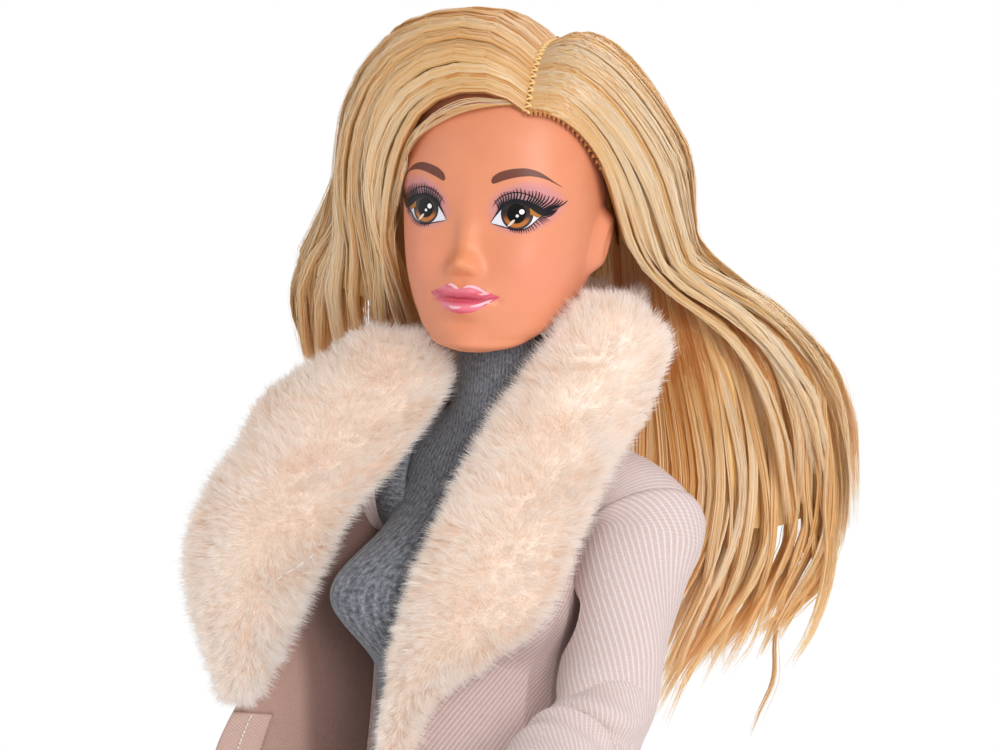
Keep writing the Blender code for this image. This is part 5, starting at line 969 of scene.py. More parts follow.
def pile(name, table, outward, seed, long, comb, body="torso", part_at=0.5, pale=None,
         margins=(0.9, 2.4, 1.6), sparse=1.0):
    """Fur over a plan sheet. Each hair stands on its root along unit(normal + push), where push leads away
    from the part and along the lapel, wanders with slow waves and is shared by its tuft; the tips of a tuft
    draw together."""
    random = np.random.default_rng(seed)
    sheet, out = inset(*plan_sheet(table, FUR_ROWS, FUR_COLUMNS, outward), margins)
    bulge = 1.0 + 0.7 * np.sin(math.pi * np.linspace(0, 1, FUR_COLUMNS)[None, :, None])
    thing = shell(name, sheet, sheet + out * bulge, fur_base, body)
    guards = round(GUARD_HAIRS * sparse)
    count = guards + round(UNDER_HAIRS * sparse)
    guard = np.arange(count) < guards
    along, across = random.random(count), random.random(count)
    length = np.linalg.norm(np.diff(sheet, axis=0), axis=-1).sum(0).mean()
    width = np.linalg.norm(np.diff(sheet, axis=1), axis=-1).sum(1).mean()
    cells = np.array((max(length / TUFT_PITCH, 2), max(width / TUFT_PITCH, 2))).astype(int)
    warp = 0.6 * np.sin(9 * along + 5 * across + seed), 0.6 * np.sin(8 * across - 7 * along)
    at = [np.clip((a * n + w).astype(int), 0, n - 1) for a, n, w in zip((along, across), cells, warp)]
    tuft = at[0] * cells[1] + at[1]
    tufts = cells[0] * cells[1]
    edge = np.where(random.random(count) < 0.13, np.sign(across - part_at), 0)
    across = np.where(edge, (edge + 1) / 2, across)
    end = np.where(random.random(count) < 0.05, np.sign(along - 0.5), 0) * (edge == 0)
    along = np.where(end, (end + 1) / 2, along)
    root, normal = sample(sheet, along, across), unit(sample(out, along, across))
    up = unit(sample(np.gradient(sheet, axis=0), along, across))
    side = unit(sample(np.gradient(sheet, axis=1), along, across))
    x, _, z = root.T
    slow = np.sin(0.55 * x + 0.75 * z + seed), np.sin(0.80 * z - 0.50 * x + 2 * seed)
    share = np.clip((across - part_at) * 2.4, -1, 1) + 0.18 * slow[0]
    rise = comb[0] + (comb[1] - comb[0]) * along + 0.20 * slow[1]
    push = 0.95 * share[:, None] * side + rise[:, None] * up
    loose = np.where(guard, 0.16, 0.34)[:, None] * random.normal(0, 1, (count, 3))
    push = push + random.normal(0, 0.15, (tufts, 3))[tuft] + loose
    flat = np.where((edge != 0) | (end != 0), 0.35, 1.0)[:, None]
    way = unit(normal * flat + push + 1.0 * edge[:, None] * side + 0.9 * end[:, None] * up)
    size = long * random.uniform(0.75, 1.12, count) * random.uniform(0.85, 1.12, tufts)[tuft]
    size = size * np.where(guard, 1.0, 0.72)
    start = root + normal * (1.2 * random.random(count))[:, None]
    gather = np.zeros((tufts, 3))
    tip = start + unit(way + 0.35 * push) * size[:, None]
    number = np.bincount(tuft, minlength=tufts)[:, None] + 1e-6
    for k in range(3):
        gather[:, k] = np.bincount(tuft, tip[:, k], minlength=tufts)
    pull = (gather / number)[tuft] - tip
    near = np.linalg.norm(pull, axis=1, keepdims=True) < 3.0
    tip = tip + np.where(guard, 0.34, 0.15)[:, None] * pull * near * (edge == 0)[:, None]
    middle = start + way * (0.55 * size)[:, None] + 0.10 * pull * near
    facing = unit(normal + random.normal(0, 0.35, (count, 3)))
    across_hair = unit(np.cross(tip - start, facing))
    half = 0.5 * random.uniform(0.06, 0.11, count)[:, None] * across_hair
    tone = 0.48 + 0.14 * random.normal(0, 1, tufts)[tuft] + 0.14 * random.normal(0, 1, count)
    # Painted shade along the part, where the pile opens
    part_shade = np.exp(-((across - part_at) / 0.13) ** 2)
    tone = tone + 0.16 * np.sin(0.9 * x - 0.6 * z + 3 * slow[1]) - 0.38 * part_shade
    # pale makes part of the pile paler, and adds painted shade where it is negative
    if pale:
        tone = tone + 0.4 * pale(along, across)
    tone = np.clip(tone, 0.01, 0.99)
    parts, faces, corners, first = [], [], [], 0
    for chosen, stations, shape in (
        (guard, ((start, 1.0, 0.0), (middle, 0.7, 0.55), (tip, 0.0, 1.0)), ((0, 1, 3), (0, 3, 2), (2, 3, 4))),
        (~guard, ((start, 1.3, 0.0), (tip, 0.0, 0.8)), ((0, 1, 2),)),
    ):
        points, reach = [], []
        for place, share, along_hair in stations:
            for sign in (-1, 1) if share else (0,):
                points.append((place + sign * share * half)[chosen])
                reach.append(along_hair)
        shape = np.array(shape)
        hairs = chosen.sum()
        parts.append(np.stack(points, 1).reshape(-1, 3))
        own_faces = shape[None] + len(points) * np.arange(hairs)[:, None, None]
        faces.append(own_faces.reshape(-1, 3) + first)
        first += hairs * len(points)
        places = np.broadcast_arrays(tone[chosen][:, None, None], np.array(reach)[shape][None])
        corners.append(np.stack(places, -1).reshape(-1, 2))
    hairs = piece(f"{name}_pile", np.concatenate(parts), np.concatenate(faces), fur_hair,
                  np.concatenate(corners))
    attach(hairs, body)
    return thing


GUARD_HAIRS, UNDER_HAIRS = 46000, 56000
TUFT_PITCH = 0.85
fur_base, fur_base_shader, place = finish_named("fur_backing")
cloud = place.node("ShaderNodeTexNoise", {}, {"Vector": place, "Scale": 1.2, "Detail": 3.0})
connect(fur_base_shader, Base_Color=cloud.mix(tint(244, 218, 198), tint(252, 240, 230)), Roughness=0.9,
        Specular_IOR_Level=0.1)
fur_hair, fur_hair_shader, place = finish_named("fur_fibre")
tone, reach, _ = place.node("ShaderNodeUVMap", {"uv_map": "length"}, {}).parts()
cloud = place.node("ShaderNodeTexNoise", {}, {"Vector": place, "Scale": 0.18, "Detail": 2.0})
# Painted shade: each hair is darker towards its root, deep in the pile
fur_tone = tone * 0.35 + cloud * 0.25 + reach * 0.55
fur_colour = fur_tone.node("ShaderNodeValToRGB", {"stops": [
    (0.0, tint(220, 166, 124)), (0.22, tint(240, 206, 178)), (0.46, tint(252, 238, 226)),
    (0.72, tint(255, 251, 248)), (1.0, tint(255, 255, 255))]}, {0: fur_tone})
# Painted light: the fibre glows faintly in its own colour, which lightens its shade
connect(fur_hair_shader, Base_Color=fur_colour, Roughness=0.75, Specular_IOR_Level=0.15,
        Emission_Color=fur_colour, Emission_Strength=0.06)
let_through(fur_hair, fur_hair_shader, tint(255, 249, 243), 0.58)

fur_left = pile("fur_lapel_left", LEFT_LAPEL_SHARES, 1, 21, 3.0, (-0.7, 0.9), margins=(1.6, 2.6, 1.6))
# The right lapel is pieced: below a slanting seam its pile is paler and lies the other way
SEAM_ALONG_SHARES, SEAM_ACROSS_SHARES = (0.06, 0.126, 0.287, 0.43), (0.62, 0.50, 0.33, 0.04)


def seam_pale_and_groove_shade(along, across):
    """Positive below the seam, and strongly negative in its groove as painted shade."""
    off = across - np.interp(along, SEAM_ALONG_SHARES, SEAM_ACROSS_SHARES)
    return (0.5 * (off < 0) - 0.9 * np.exp(-((off / 0.03) ** 2))) * (along < 0.44)


fur_right = pile("fur_lapel_right", RIGHT_LAPEL_SHARES, -1, 22, 3.0, (-0.6, 0.7), part_at=0.45,
                 pale=seam_pale_and_groove_shade, margins=(0.4, 2.4, 1.6))
fur_back = pile("fur_collar_back", COLLAR_BACK_SHARES, -1, 23, 2.8, (-0.2, 0.8), margins=(0.6, 0.6, 1.0),
                sparse=0.42)
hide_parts("lapel_left")
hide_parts("lapel_right")
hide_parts("collar_back")


# Sweater: grey heather jersey knitted in fine columns, with a turtleneck that spreads over the shoulders. It
# fits the trunk closely and bridges the hollows of the chest.
# Level, half width, front, back and centre of the trunk's sections
TRUNK_SHARES = (
    (-0.045, 0.46, 0.34, 0.42, 0.00), (0.000, 0.66, 0.38, 0.50, 0.00), (0.050, 0.77, 0.41, 0.55, 0.00),
    (0.100, 0.84, 0.43, 0.58, -0.02), (0.170, 0.85, 0.44, 0.60, -0.06), (0.283, 0.70, 0.42, 0.47, -0.18),
    (0.391, 0.60, 0.38, 0.40, -0.25), (0.500, 0.63, 0.44, 0.40, -0.24), (0.652, 0.665, 0.58, 0.44, -0.10),
    (0.761, 0.67, 0.44, 0.43, 0.00), (0.837, 0.64, 0.36, 0.36, 0.05), (0.885, 0.42, 0.30, 0.30, 0.05),
    (0.913, 0.29, 0.29, 0.29, 0.05),
)
BUST_SHARE, BUST_RISE_SHARE, BUST_SPREAD_SHARE = 0.655, 0.36, 0.085
BUST_ANGLE, BUST_WIDTH_ANGLE = math.radians(39), math.radians(24)
SWEATER_HEM_SHARE, NECK_SHARE = 0.36, 0.913
# The jersey's distance from the skin to its outside, and the thickness of jersey, sleeves and trousers
JERSEY_EASE, THIN_CLOTH = 1.25, 0.6


def oval(angle, half, front, back):
    """Distance from the middle to the edge of an oval with a half width and unequal depths."""
    return 1 / np.hypot(np.sin(angle) / half, np.cos(angle) / np.where(np.cos(angle) > 0, front, back))


def trunk_radius(share, angle):
    """Distance of the doll's skin from its centre line, and the line's y, by level and angle from the
    front."""
    half, front, back, centre = smooth_rows(share, TRUNK_SHARES)
    turned = np.abs((angle + math.pi) % math.tau - math.pi)
    bust = ((turned - BUST_ANGLE) / BUST_WIDTH_ANGLE) ** 2 + ((share - BUST_SHARE) / BUST_SPREAD_SHARE) ** 2
    radius = SHOULDER_HALF * (oval(angle, half, front, back) + BUST_RISE_SHARE * np.exp(-bust))
    return radius, SHOULDER_HALF * centre


def round_trunk(share, angle, radius, centre):
    """Points about the trunk's line, by level and angle from the front."""
    x, y, z = radius * np.sin(angle), centre - radius * np.cos(angle), HIP_Z + TRUNK_LENGTH * share
    return np.stack(np.broadcast_arrays(x, y, z), -1)


def tube_shell(name, inner, outer, finish):
    """A closed sleeve of cloth between two round grids, folded over at both ends."""
    middle = (inner[[0, -1]] + outer[[0, -1]]) / 2
    rings = np.concatenate([middle[:1], outer, middle[1:], inner[::-1], middle[:1]])
    thing = surface(name, rings, finish, closed=True)
    weld(thing)
    thing["wrapped"] = True
    return thing


def declare(cloth, outside, held, *rests_on, sewn_on=()):
    """Takes a piece of cloth and its outside; for a closed piece it joins the outside's first column on at its
    end, and keeps nothing.
    """
    if cloth.get("wrapped"):
        outside = np.concatenate([outside, outside[:, :1]], 1)


jersey, jersey_shader, place = finish_named("heather_jersey")
lane, length, _ = place.node("ShaderNodeUVMap", {"uv_map": "length"}, {}).parts()
stitch = place.node("ShaderNodeCombineXYZ", {}, {0: lane * 6.5, 1: length * 1.5})
fleck = stitch.node("ShaderNodeTexNoise", {},
                    {"Vector": stitch, "Scale": 1.0, "Detail": 2.0, "Roughness": 0.65})
broad = place.node("ShaderNodeTexNoise", {}, {"Vector": place, "Scale": 0.5, "Detail": 2.0})
wale = (lane * (math.tau / 0.42)).math("SINE")
heather = fleck * 0.9 + broad * 0.14 + wale * 0.05
heather_colour = heather.node("ShaderNodeValToRGB", {"stops": [
    (0.30, tint(72, 74, 80)), (0.46, tint(104, 107, 114)), (0.60, tint(132, 135, 142)),
    (0.78, tint(164, 166, 172))]}, {0: heather})
connect(jersey_shader, Base_Color=heather_colour, Roughness=0.95, Specular_IOR_Level=0.1, Sheen_Weight=0.25,
        Normal=fleck.node("ShaderNodeBump", {}, {"Height": fleck * 0.7 + wale * 0.25, "Strength": 0.7,
                                                 "Distance": 0.12 * MM}))

levels = np.linspace(SWEATER_HEM_SHARE, NECK_SHARE, 90)
share, angle = np.meshgrid(levels, np.linspace(0, math.tau, 181)[:-1], indexing="ij")
skin_radius, centre = trunk_radius(share, angle)
# The jersey bridges the hollows between the breasts and under them
from_front = (angle + math.pi) % math.tau - math.pi
bridge = 1.6 * np.exp(-((from_front + 0.35) / 0.7) ** 2 - ((share - 0.60) / 0.12) ** 2)
drape = 0.10 * np.sin(5 * angle + 14 * share) * np.clip((0.62 - share) * 6, 0, 1)
# It stands off further on the right of the chest
turned = from_front + BUST_ANGLE
standing_off = 1.4 * np.exp(-((turned / 0.5) ** 2) - ((share - BUST_SHARE + 0.01) / 0.09) ** 2)
jersey_radius = skin_radius + JERSEY_EASE + bridge + drape + standing_off
jersey_surface = round_trunk(share, angle, jersey_radius, centre)
jersey_inside = round_trunk(share, angle, jersey_radius - THIN_CLOTH, centre)
sweater = tube_shell("sweater_knit", jersey_inside, jersey_surface, jersey)
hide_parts("sweater_body")
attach(sweater, "torso")

# Height above the soles and radius of the turtleneck's outside, up to its rolled top; it grows out of the
# shoulders
NECK_ROLL = ((234.5, 7.4), (236.5, 7.3), (239.0, 7.05), (241.0, 6.75), (243.2, 6.6), (245.8, 6.45),
             (247.0, 6.0))
NECK_BLEND_Z, NECK_ROLL_THICK = (237, 241), 0.8
run = np.linspace(0, 1, 60)
height, radius = smooth_rows(run, np.column_stack([np.linspace(0, 1, len(NECK_ROLL)), NECK_ROLL]))
height, angle = np.meshgrid(height, np.linspace(0, math.tau, 121)[:-1], indexing="ij")
share = (height - HIP_Z) / TRUNK_LENGTH
shoulder = trunk_radius(np.minimum(share, NECK_SHARE), angle)[0] + JERSEY_EASE
shoulder = shoulder + 0.5 * np.clip((height - 235.2) / 2, -0.5, 1)
rise = np.clip((height - NECK_ROLL[0][0]) / 5.5, 0, 1)
rise = rise * rise * (3 - 2 * rise)
radius = (1 - rise) * shoulder + rise * (radius[:, None] + 0.05 * np.sin(3 * angle + 2 * height))
rings = [
    np.stack([r * np.sin(angle), 1 - r * np.cos(angle), height], -1) for r in (radius - NECK_ROLL_THICK, radius)
]
neck_roll = tube_shell("turtleneck_knit", *rings, jersey)
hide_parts("sweater_turtleneck")
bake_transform(neck_roll)
declare(neck_roll, rings[1], "stretched", "neck_post", "sweater_knit")


# Coat: pinkish beige cloth with fine pale ribs outside and a plain twill inside. Back, left front and right
# front are separate panels; the right front is thrown open, so its inside and its topstitched turned edge
# show.
# Level, half width, front and back of the coat's sections
COAT_SHARES = (
    (-0.05, 1.10, 0.98, 0.86), (0.08, 1.00, 0.92, 0.80), (0.20, 0.92, 0.86, 0.72), (0.391, 0.76, 0.80, 0.56),
    (0.500, 0.74, 0.80, 0.52), (0.652, 0.76, 0.80, 0.54), (0.761, 0.80, 0.60, 0.55),
    (0.837, 0.82, 0.46, 0.50), (0.875, 0.74, 0.40, 0.44), (0.905, 0.56, 0.38, 0.40),
    (0.940, 0.42, 0.38, 0.40),
)
FOLD_COUNT, FOLD_RISE_SHARE, FOLD_START_SHARE = 8, 0.12, 0.46
COAT_INSIDE, CLOTH = 2.1, 0.8
# The left front is pressed into a groove beside the arm, this deep in millimetres
GROOVE_DEEP = 2.4
COAT_LOW_SHARE, COAT_HIGH_SHARE = -0.03, 0.935
SEAM_ANGLE = math.radians(92)
# Level and angle from the front, in degrees, of the left front's free edge
LEFT_EDGE_ANGLES = ((-0.05, -14), (0.20, -14), (0.42, -15), (0.64, -9), (0.78, -4), (0.87, 6), (0.94, 22))
# Level, then x and y of four plan points from the side seam to the free edge of the right front
RIGHT_FRONT_SHARES = (
    (-0.05, -1.16, -0.02, -1.36, -0.30, -1.62, -0.50, -1.98, -0.56),
    (0.20, -0.98, -0.12, -1.20, -0.36, -1.52, -0.56, -1.86, -0.62),
    (0.42, -0.80, -0.26, -1.00, -0.46, -1.32, -0.60, -1.66, -0.66),
    (0.50, -0.78, -0.26, -0.95, -0.46, -1.20, -0.60, -1.46, -0.66),
    (0.58, -0.80, -0.22, -0.92, -0.50, -1.05, -0.66, -1.18, -0.72),
    (0.67, -0.82, -0.14, -0.98, -0.50, -1.00, -0.66, -1.00, -0.74),
    (0.76, -0.86, -0.06, -0.94, -0.44, -0.94, -0.60, -0.90, -0.72),
    (0.84, -0.86, 0.02, -0.80, -0.30, -0.72, -0.42, -0.64, -0.48),
    (0.875, -0.76, 0.04, -0.68, -0.22, -0.60, -0.30, -0.52, -0.36),
    (0.905, -0.58, 0.05, -0.54, -0.16, -0.48, -0.24, -0.42, -0.28),
    (0.940, -0.44, 0.05, -0.42, -0.12, -0.38, -0.19, -0.34, -0.22),
)
SHOULDER_Z, ARMHOLE_RADIUS = 226.5, 7.4


def step_up(value, start, end):
    """A smooth step from 0 at start to 1 at end."""
    t = np.clip((value - start) / (end - start), 0, 1)
    return t * t * (3 - 2 * t)


def coat_grid(share, angle, offset):
    """A point of the coat: an oval that swings into folds below the waist, kept clear of the sweater."""
    half, front, back = smooth_rows(share, COAT_SHARES)
    hang_share = np.clip((FOLD_START_SHARE - share) / FOLD_START_SHARE, 0, 1)
    fold_share = FOLD_RISE_SHARE * hang_share * (1 - np.cos(FOLD_COUNT * angle)) / 2
    skin, centre = trunk_radius(np.minimum(share, TRUNK_SHARES[-1][0]), angle)
    turned = np.degrees(angle)
    groove = step_up(turned, 45, 49) * step_up(-turned, -86, -64)
    groove = groove * step_up(share, 0.44, 0.50) * step_up(-share, -0.80, -0.72)
    radius = SHOULDER_HALF * (oval(angle, half, front, back) + fold_share) - GROOVE_DEEP * groove
    radius = np.maximum(radius, skin + COAT_INSIDE - 0.5 * groove) + offset
    return round_trunk(share, angle, radius, centre)


def with_armhole(name, inner, outer, finish, body):
    """A cloth shell whose armhole is cut clean: faces inside it go, and both layers' edges move onto its
    circle."""
    thing = shell(name, inner, outer, finish, body, welded=False)
    mesh = thing.data
    at = np.empty(len(mesh.vertices) * 3, np.float32)
    mesh.vertices.foreach_get("co", at)
    at = (at.reshape(-1, 3) - CENTRE) / MM
    rings, columns = at.reshape(-1, 2 * inner.shape[1], 3), inner.shape[1]
    over = np.concatenate([rings[:, :columns], rings[:, :columns][:, ::-1]], 1).reshape(-1, 3)
    radius = np.hypot(over[:, 1] - 1, over[:, 2] - SHOULDER_Z)
    inside = (radius < ARMHOLE_RADIUS) & (np.abs(over[:, 0]) > 0.66 * SHOULDER_HALF)
    faces = np.array([face.vertices[:] for face in mesh.polygons])
    gone = inside[faces].all(1)
    rim = np.unique(faces[~gone][inside[faces[~gone]]])
    at[rim, 0] = over[rim, 0]
    grow = (ARMHOLE_RADIUS / radius[rim])[:, None]
    at[rim, 1:] = (over[rim, 1:] - (1, SHOULDER_Z)) * grow + (1, SHOULDER_Z)
    mesh.vertices.foreach_set("co", (at * MM + CENTRE).astype(np.float32).reshape(-1))
    cut = bmesh.new()
    cut.from_mesh(mesh)
    cut.faces.ensure_lookup_table()
    bmesh.ops.delete(cut, geom=[cut.faces[k] for k in np.flatnonzero(gone)], context="FACES")
    cut.to_mesh(mesh)
    cut.free()
    weld(thing)
    return thing


def ribbed(name, turn, pitch=0.60, light=(246, 234, 232), base=(212, 188, 184), strength=0.5, painted_shade=None):
    """Cloth with pale cords that run at an angle to its length, with fine cross threads between them; the last
    argument maps a place to the share of a darker tone, as painted shade."""
    finish, shader, place = finish_named(name)
    u, v, _ = place.node("ShaderNodeUVMap", {"uv_map": "length"}, {}).parts()
    lane = u * math.cos(turn) + v * math.sin(turn)
    run = v * math.cos(turn) - u * math.sin(turn)
    cord = ((lane * (math.tau / pitch)).math("SINE") * 0.5 + 0.5) ** 4.0
    thread = (run * (math.tau / 0.30)).math("SINE") * 0.5 + 0.5
    fuzz = place.node("ShaderNodeTexNoise", {}, {"Vector": place, "Scale": 3.0, "Detail": 3.0})
    shade = cord * 0.62 + thread * 0.20 + (fuzz - 0.5) * 0.5
    colour = shade.mix(tint(*base), tint(*light))
    if painted_shade:
        # Painted shade: a dark tone mixed in by the given map
        colour = painted_shade(place).mix(colour, tint(104, 74, 68))
    bump = {"Height": cord * 0.8 + thread * 0.25, "Strength": strength, "Distance": 0.10 * MM}
    connect(shader, Base_Color=colour, Roughness=0.88, Specular_IOR_Level=0.15, Sheen_Weight=0.15,
            Normal=shade.node("ShaderNodeBump", {}, bump))
    return finish


def arm_fold_shade(place):
    """Painted shade in the fold of the left front that lies shut in beside the arm."""
    x, y, z = place.parts()
    angle = x.math("ARCTAN2", 1 - y)
    inside = angle.ramp(math.radians(46.5), math.radians(48.0))
    inside = inside * angle.ramp(math.radians(66), math.radians(58))
    return inside * z.ramp(217, 213) * z.ramp(186, 192) * 0.5


def beside_sweater(place):
    """The inside of the right front is in shadow where it lies against the sweater."""
    return place.parts()[0].ramp(-23.4, -21.0) * 0.62


# The left front's cloth is painted darker than the back and sleeves as painted shade, darker still beside the
# arm
front_rib_shaded = ribbed("coat_rib_diagonal_shaded", math.radians(-34), light=(238, 222, 219), base=(190, 162, 157),
                  painted_shade=arm_fold_shade)
back_rib = ribbed("coat_rib_upright", 0.0)
sleeve_rib = ribbed("coat_rib_sleeve", 0.30, pitch=0.56)
forearm_rib = ribbed("coat_rib_forearm", 0.55, pitch=0.56)
yoke_rib = ribbed("coat_rib_level", math.pi / 2, pitch=0.56)
lining_twill = ribbed("coat_inside_twill", math.radians(50), pitch=0.36, light=(206, 172, 160),
                      base=(176, 140, 128), strength=0.3, painted_shade=beside_sweater)
edge_twill = ribbed("coat_edge_twill", math.radians(-58), pitch=0.36, light=(222, 192, 182),
                    base=(196, 162, 150), strength=0.3)
white_thread = ribbed("white_thread", 0.5, pitch=0.3, light=(255, 252, 248), base=(240, 232, 226),
                      strength=0.2)


def coat_span(name, low_angle, high_angle, columns, finish):
    """A coat panel between two edges, each an angle from the front by level, and its outside surface."""
    share = np.linspace(COAT_LOW_SHARE, COAT_HIGH_SHARE, 120)
    start, end = low_angle(share), high_angle(share)
    angle = start[:, None] + (end - start)[:, None] * np.linspace(0, 1, columns)
    share = np.broadcast_to(share[:, None], angle.shape)
    outside = coat_grid(share, angle, CLOTH)
    thing = with_armhole(name, coat_grid(share, angle, 0), outside, finish, "torso")
    return thing, outside


def left_seam(share):
    """The side seam under the left arm, straight down."""
    return SEAM_ANGLE + 0 * share


def right_seam(share):
    """The side seam under the right arm, straight down."""
    return math.tau - SEAM_ANGLE + 0 * share


def left_front_edge(share):
    """The free edge of the left front."""
    return np.radians(smooth_rows(share, LEFT_EDGE_ANGLES)[0])


coat_back, back_outside = coat_span("coat_back_panel", left_seam, right_seam, 150, back_rib)
coat_left, left_outside = coat_span("coat_left_panel", left_front_edge, left_seam, 110, front_rib_shaded)
rows = np.linspace(COAT_LOW_SHARE, COAT_HIGH_SHARE, 150)
right_front = np.column_stack([rows, smooth_rows(rows, RIGHT_FRONT_SHARES).T])
right_sheet, right_out = plan_sheet(right_front, 120, 80, -1)
right_outside = right_sheet + right_out * CLOTH
coat_right = with_armhole("coat_right_panel", right_sheet, right_outside, lining_twill, "torso")
# The front edge is turned in and held by a white topstitch
EDGE_TOP_SHARE, EDGE_INNER_SHARE, EDGE_OUTER_SHARE = 0.50, 0.72, 0.995
STITCH_PITCH_SHARE, STITCH_LENGTH_SHARE, STITCH_ACROSS_SHARE = 0.0125, 0.0105, 0.86
along = np.linspace(0.0, EDGE_TOP_SHARE, 80)
across = np.linspace(EDGE_INNER_SHARE, EDGE_OUTER_SHARE, 16)
along, across = np.meshgrid(along, across, indexing="ij")
turned_edge = sample(right_sheet, along, across), unit(sample(right_out, along, across))
edge_strip = shell("coat_turned_edge", turned_edge[0] + turned_edge[1] * (CLOTH + 0.05),
                   turned_edge[0] + turned_edge[1] * (CLOTH + 0.5), edge_twill, "torso")
begins = np.arange(0.0, EDGE_TOP_SHARE, STITCH_PITCH_SHARE)
stitch_run = begins[:, None] + np.linspace(0, STITCH_LENGTH_SHARE, 5)
stitch_across = STITCH_ACROSS_SHARE + 0 * stitch_run
at = sample(right_sheet, stitch_run, stitch_across)
lift = unit(sample(right_out, stitch_run, stitch_across))
dip = np.array((0.40, 0.62, 0.70, 0.62, 0.40))[None, :, None]
# A thread sews the right lapel's two pieces together
lapel_sheet, lapel_out = plan_sheet(RIGHT_LAPEL_SHARES, FUR_ROWS, FUR_COLUMNS, -1)
starts = np.linspace(0.08, 0.42, 15)
seam_run = starts[:, None] + np.linspace(0, 0.018, 5)
seam_across = np.interp(seam_run, SEAM_ALONG_SHARES, SEAM_ACROSS_SHARES)
seam_out = unit(sample(lapel_out, seam_run, seam_across))
seam_at = sample(lapel_sheet, seam_run, seam_across) + seam_out * (1.9 + dip)
seam_thread = thread("lapel_seam_thread", seam_at, 0.10, white_thread, "torso")
topstitch = thread("coat_topstitch", at + lift * (CLOTH + dip), 0.13, white_thread, "torso")
declare(coat_right, right_sheet, "hung", "torso_front", "sweater_knit", sewn_on=(edge_strip, topstitch))
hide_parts("coat_back")
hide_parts("coat_front_left")
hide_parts("coat_front_right")


# Sleeves: set into round armholes and cut straight, so that they break into folds at the elbow. The upper
# part runs from the armhole to past the elbow, and the lower part from above the elbow to the cuff.
ARM_SWING = {1: math.radians(35), -1: math.radians(-14)}
ARM_RAISE = {1: math.radians(4), -1: math.radians(7)}
ELBOW_BEND = {1: math.radians(32), -1: math.radians(14)}
SIDES = {1: "left", -1: "right"}
UPPER_ARM, FOREARM, CUFF_SHARE = 37, 32, 0.93
SLEEVE_TOP, SLEEVE_ARM, CREASE = 7.1, 6.1, 0.6
SLEEVE_START = {1: 13.4, -1: 15.0}
SHOULDER_CORNER, LOWER_SHIFT = 1.7, (-2.0, -2.2, 0.5)
SLEEVE_COLUMNS = 112
# The middle line's points stand this far apart; the sleeve's rows are counted along it
LINE_STEP = 0.25
SEAM_ROW, UPPER_PAST_ELBOW, LOWER_BEFORE_ELBOW = 30, 24, 44
SHOULDER_X, SHOULDER_BLEND, ELBOW_BLEND = 16, (4, 12), 4
FORWARD = np.array((0, -1, 0))


def sleeve_line(side):
    """The sleeve's middle line, its direction at each point, and its length at the elbow."""
    swing, raised, bent = ARM_SWING[side], ARM_RAISE[side], ELBOW_BEND[side]
    start = np.array((side * SLEEVE_START[side], 1.0, SHOULDER_Z))
    outward, down = np.array((side, 0, 0)), np.array((0, -math.sin(swing), -math.cos(swing)))
    ways = []
    turn = math.pi / 2 - raised
    radius = (SLEEVE_TOP + SLEEVE_ARM) / 2 + CREASE
    for t in np.arange(0, turn, LINE_STEP / radius):
        ways.append(math.cos(t) * outward + math.sin(t) * down)
    along = math.cos(turn) * outward + math.sin(turn) * down
    elbow_run = (SLEEVE_ARM + CREASE) * math.tan(bent / 2)
    run = UPPER_ARM - radius - elbow_run
    ways += [along] * round(run / LINE_STEP)
    elbow_at = len(ways)
    front = FORWARD - FORWARD.dot(along) * along
    front /= np.linalg.norm(front)
    for t in np.arange(0, bent, LINE_STEP / (SLEEVE_ARM + CREASE)):
        ways.append(math.cos(t) * along + math.sin(t) * front)
    last = math.cos(bent) * along + math.sin(bent) * front
    elbow_at = (elbow_at + len(ways)) / 2 * LINE_STEP
    ways += [last] * round((FOREARM * CUFF_SHARE - elbow_run) / LINE_STEP)
    ways = np.array(ways)
    line = start + LINE_STEP * np.cumsum(ways, axis=0)
    return line, ways, elbow_at


def sleeve_skin(side, offset, lower=False):
    """Rings round the middle line. Folds: rings of cloth stack up inside the elbow and slant across the arm.
    The lower sleeve is fuller in front, so that it rises out of the upper one along a slanting crease."""
    line, ways, elbow_at = sleeve_line(side)
    count = len(line)
    s = LINE_STEP * np.arange(count)[:, None]
    t = np.linspace(0, math.tau, SLEEVE_COLUMNS + 1)[:-1][None]
    front = unit(FORWARD - ways @ FORWARD[:, None] * ways)
    across = np.cross(ways, front)
    share = s / s[-1]
    radius = smooth_rows(share[:, 0], SLEEVE_RADII[side])[0][:, None]
    from_elbow = s - elbow_at
    inside = np.clip(np.cos(t), 0, 1)
    folds = 0.85 * np.sin(from_elbow * 1.25 + 0.9 * np.sin(t + 0.5))
    folds = folds * np.exp(-((from_elbow / 6.5) ** 2)) * inside**0.7
    folds = folds - 0.9 * np.exp(-(((from_elbow - 0.8 * np.sin(t)) / 1.3) ** 2)) * inside
    slant = 0.35 * np.sin(2.0 * t + 0.32 * s + 1.2) * np.clip(share * 5, 0, 1)
    slant = slant + 0.22 * np.sin(3.0 * t - 0.55 * s + 0.4) * np.exp(-((from_elbow / 12.0) ** 2))
    around = np.cos(t)[..., None] * front[:, None] + np.sin(t)[..., None] * across[:, None]
    corner = SHOULDER_CORNER * np.clip(around[..., 0] * side, 0, 1) ** 1.5
    corner = corner * np.exp(-(((s - 8.5) / 4.0) ** 2))
    fuller = step_up(from_elbow, -8, 2) if lower else 0
    if lower:
        rising = step_up(from_elbow + 2.5 * np.cos(t) - 4.0 * np.sin(t), -8, 1)
        radius = radius - 1.2 + (2.4 + 0.9 * np.cos(t)) * rising
    else:
        radius = radius - 1.2 * step_up(from_elbow, -1, 4)
    radius = np.maximum(radius + folds + slant + corner, 4.4) + offset
    points = line[:, None] + radius[..., None] * around
    if side == 1:
        points = points + np.array(LOWER_SHIFT) * (fuller * np.ones_like(s))[..., None]
    return clear_of_coat(points, offset + CLOTH), elbow_at


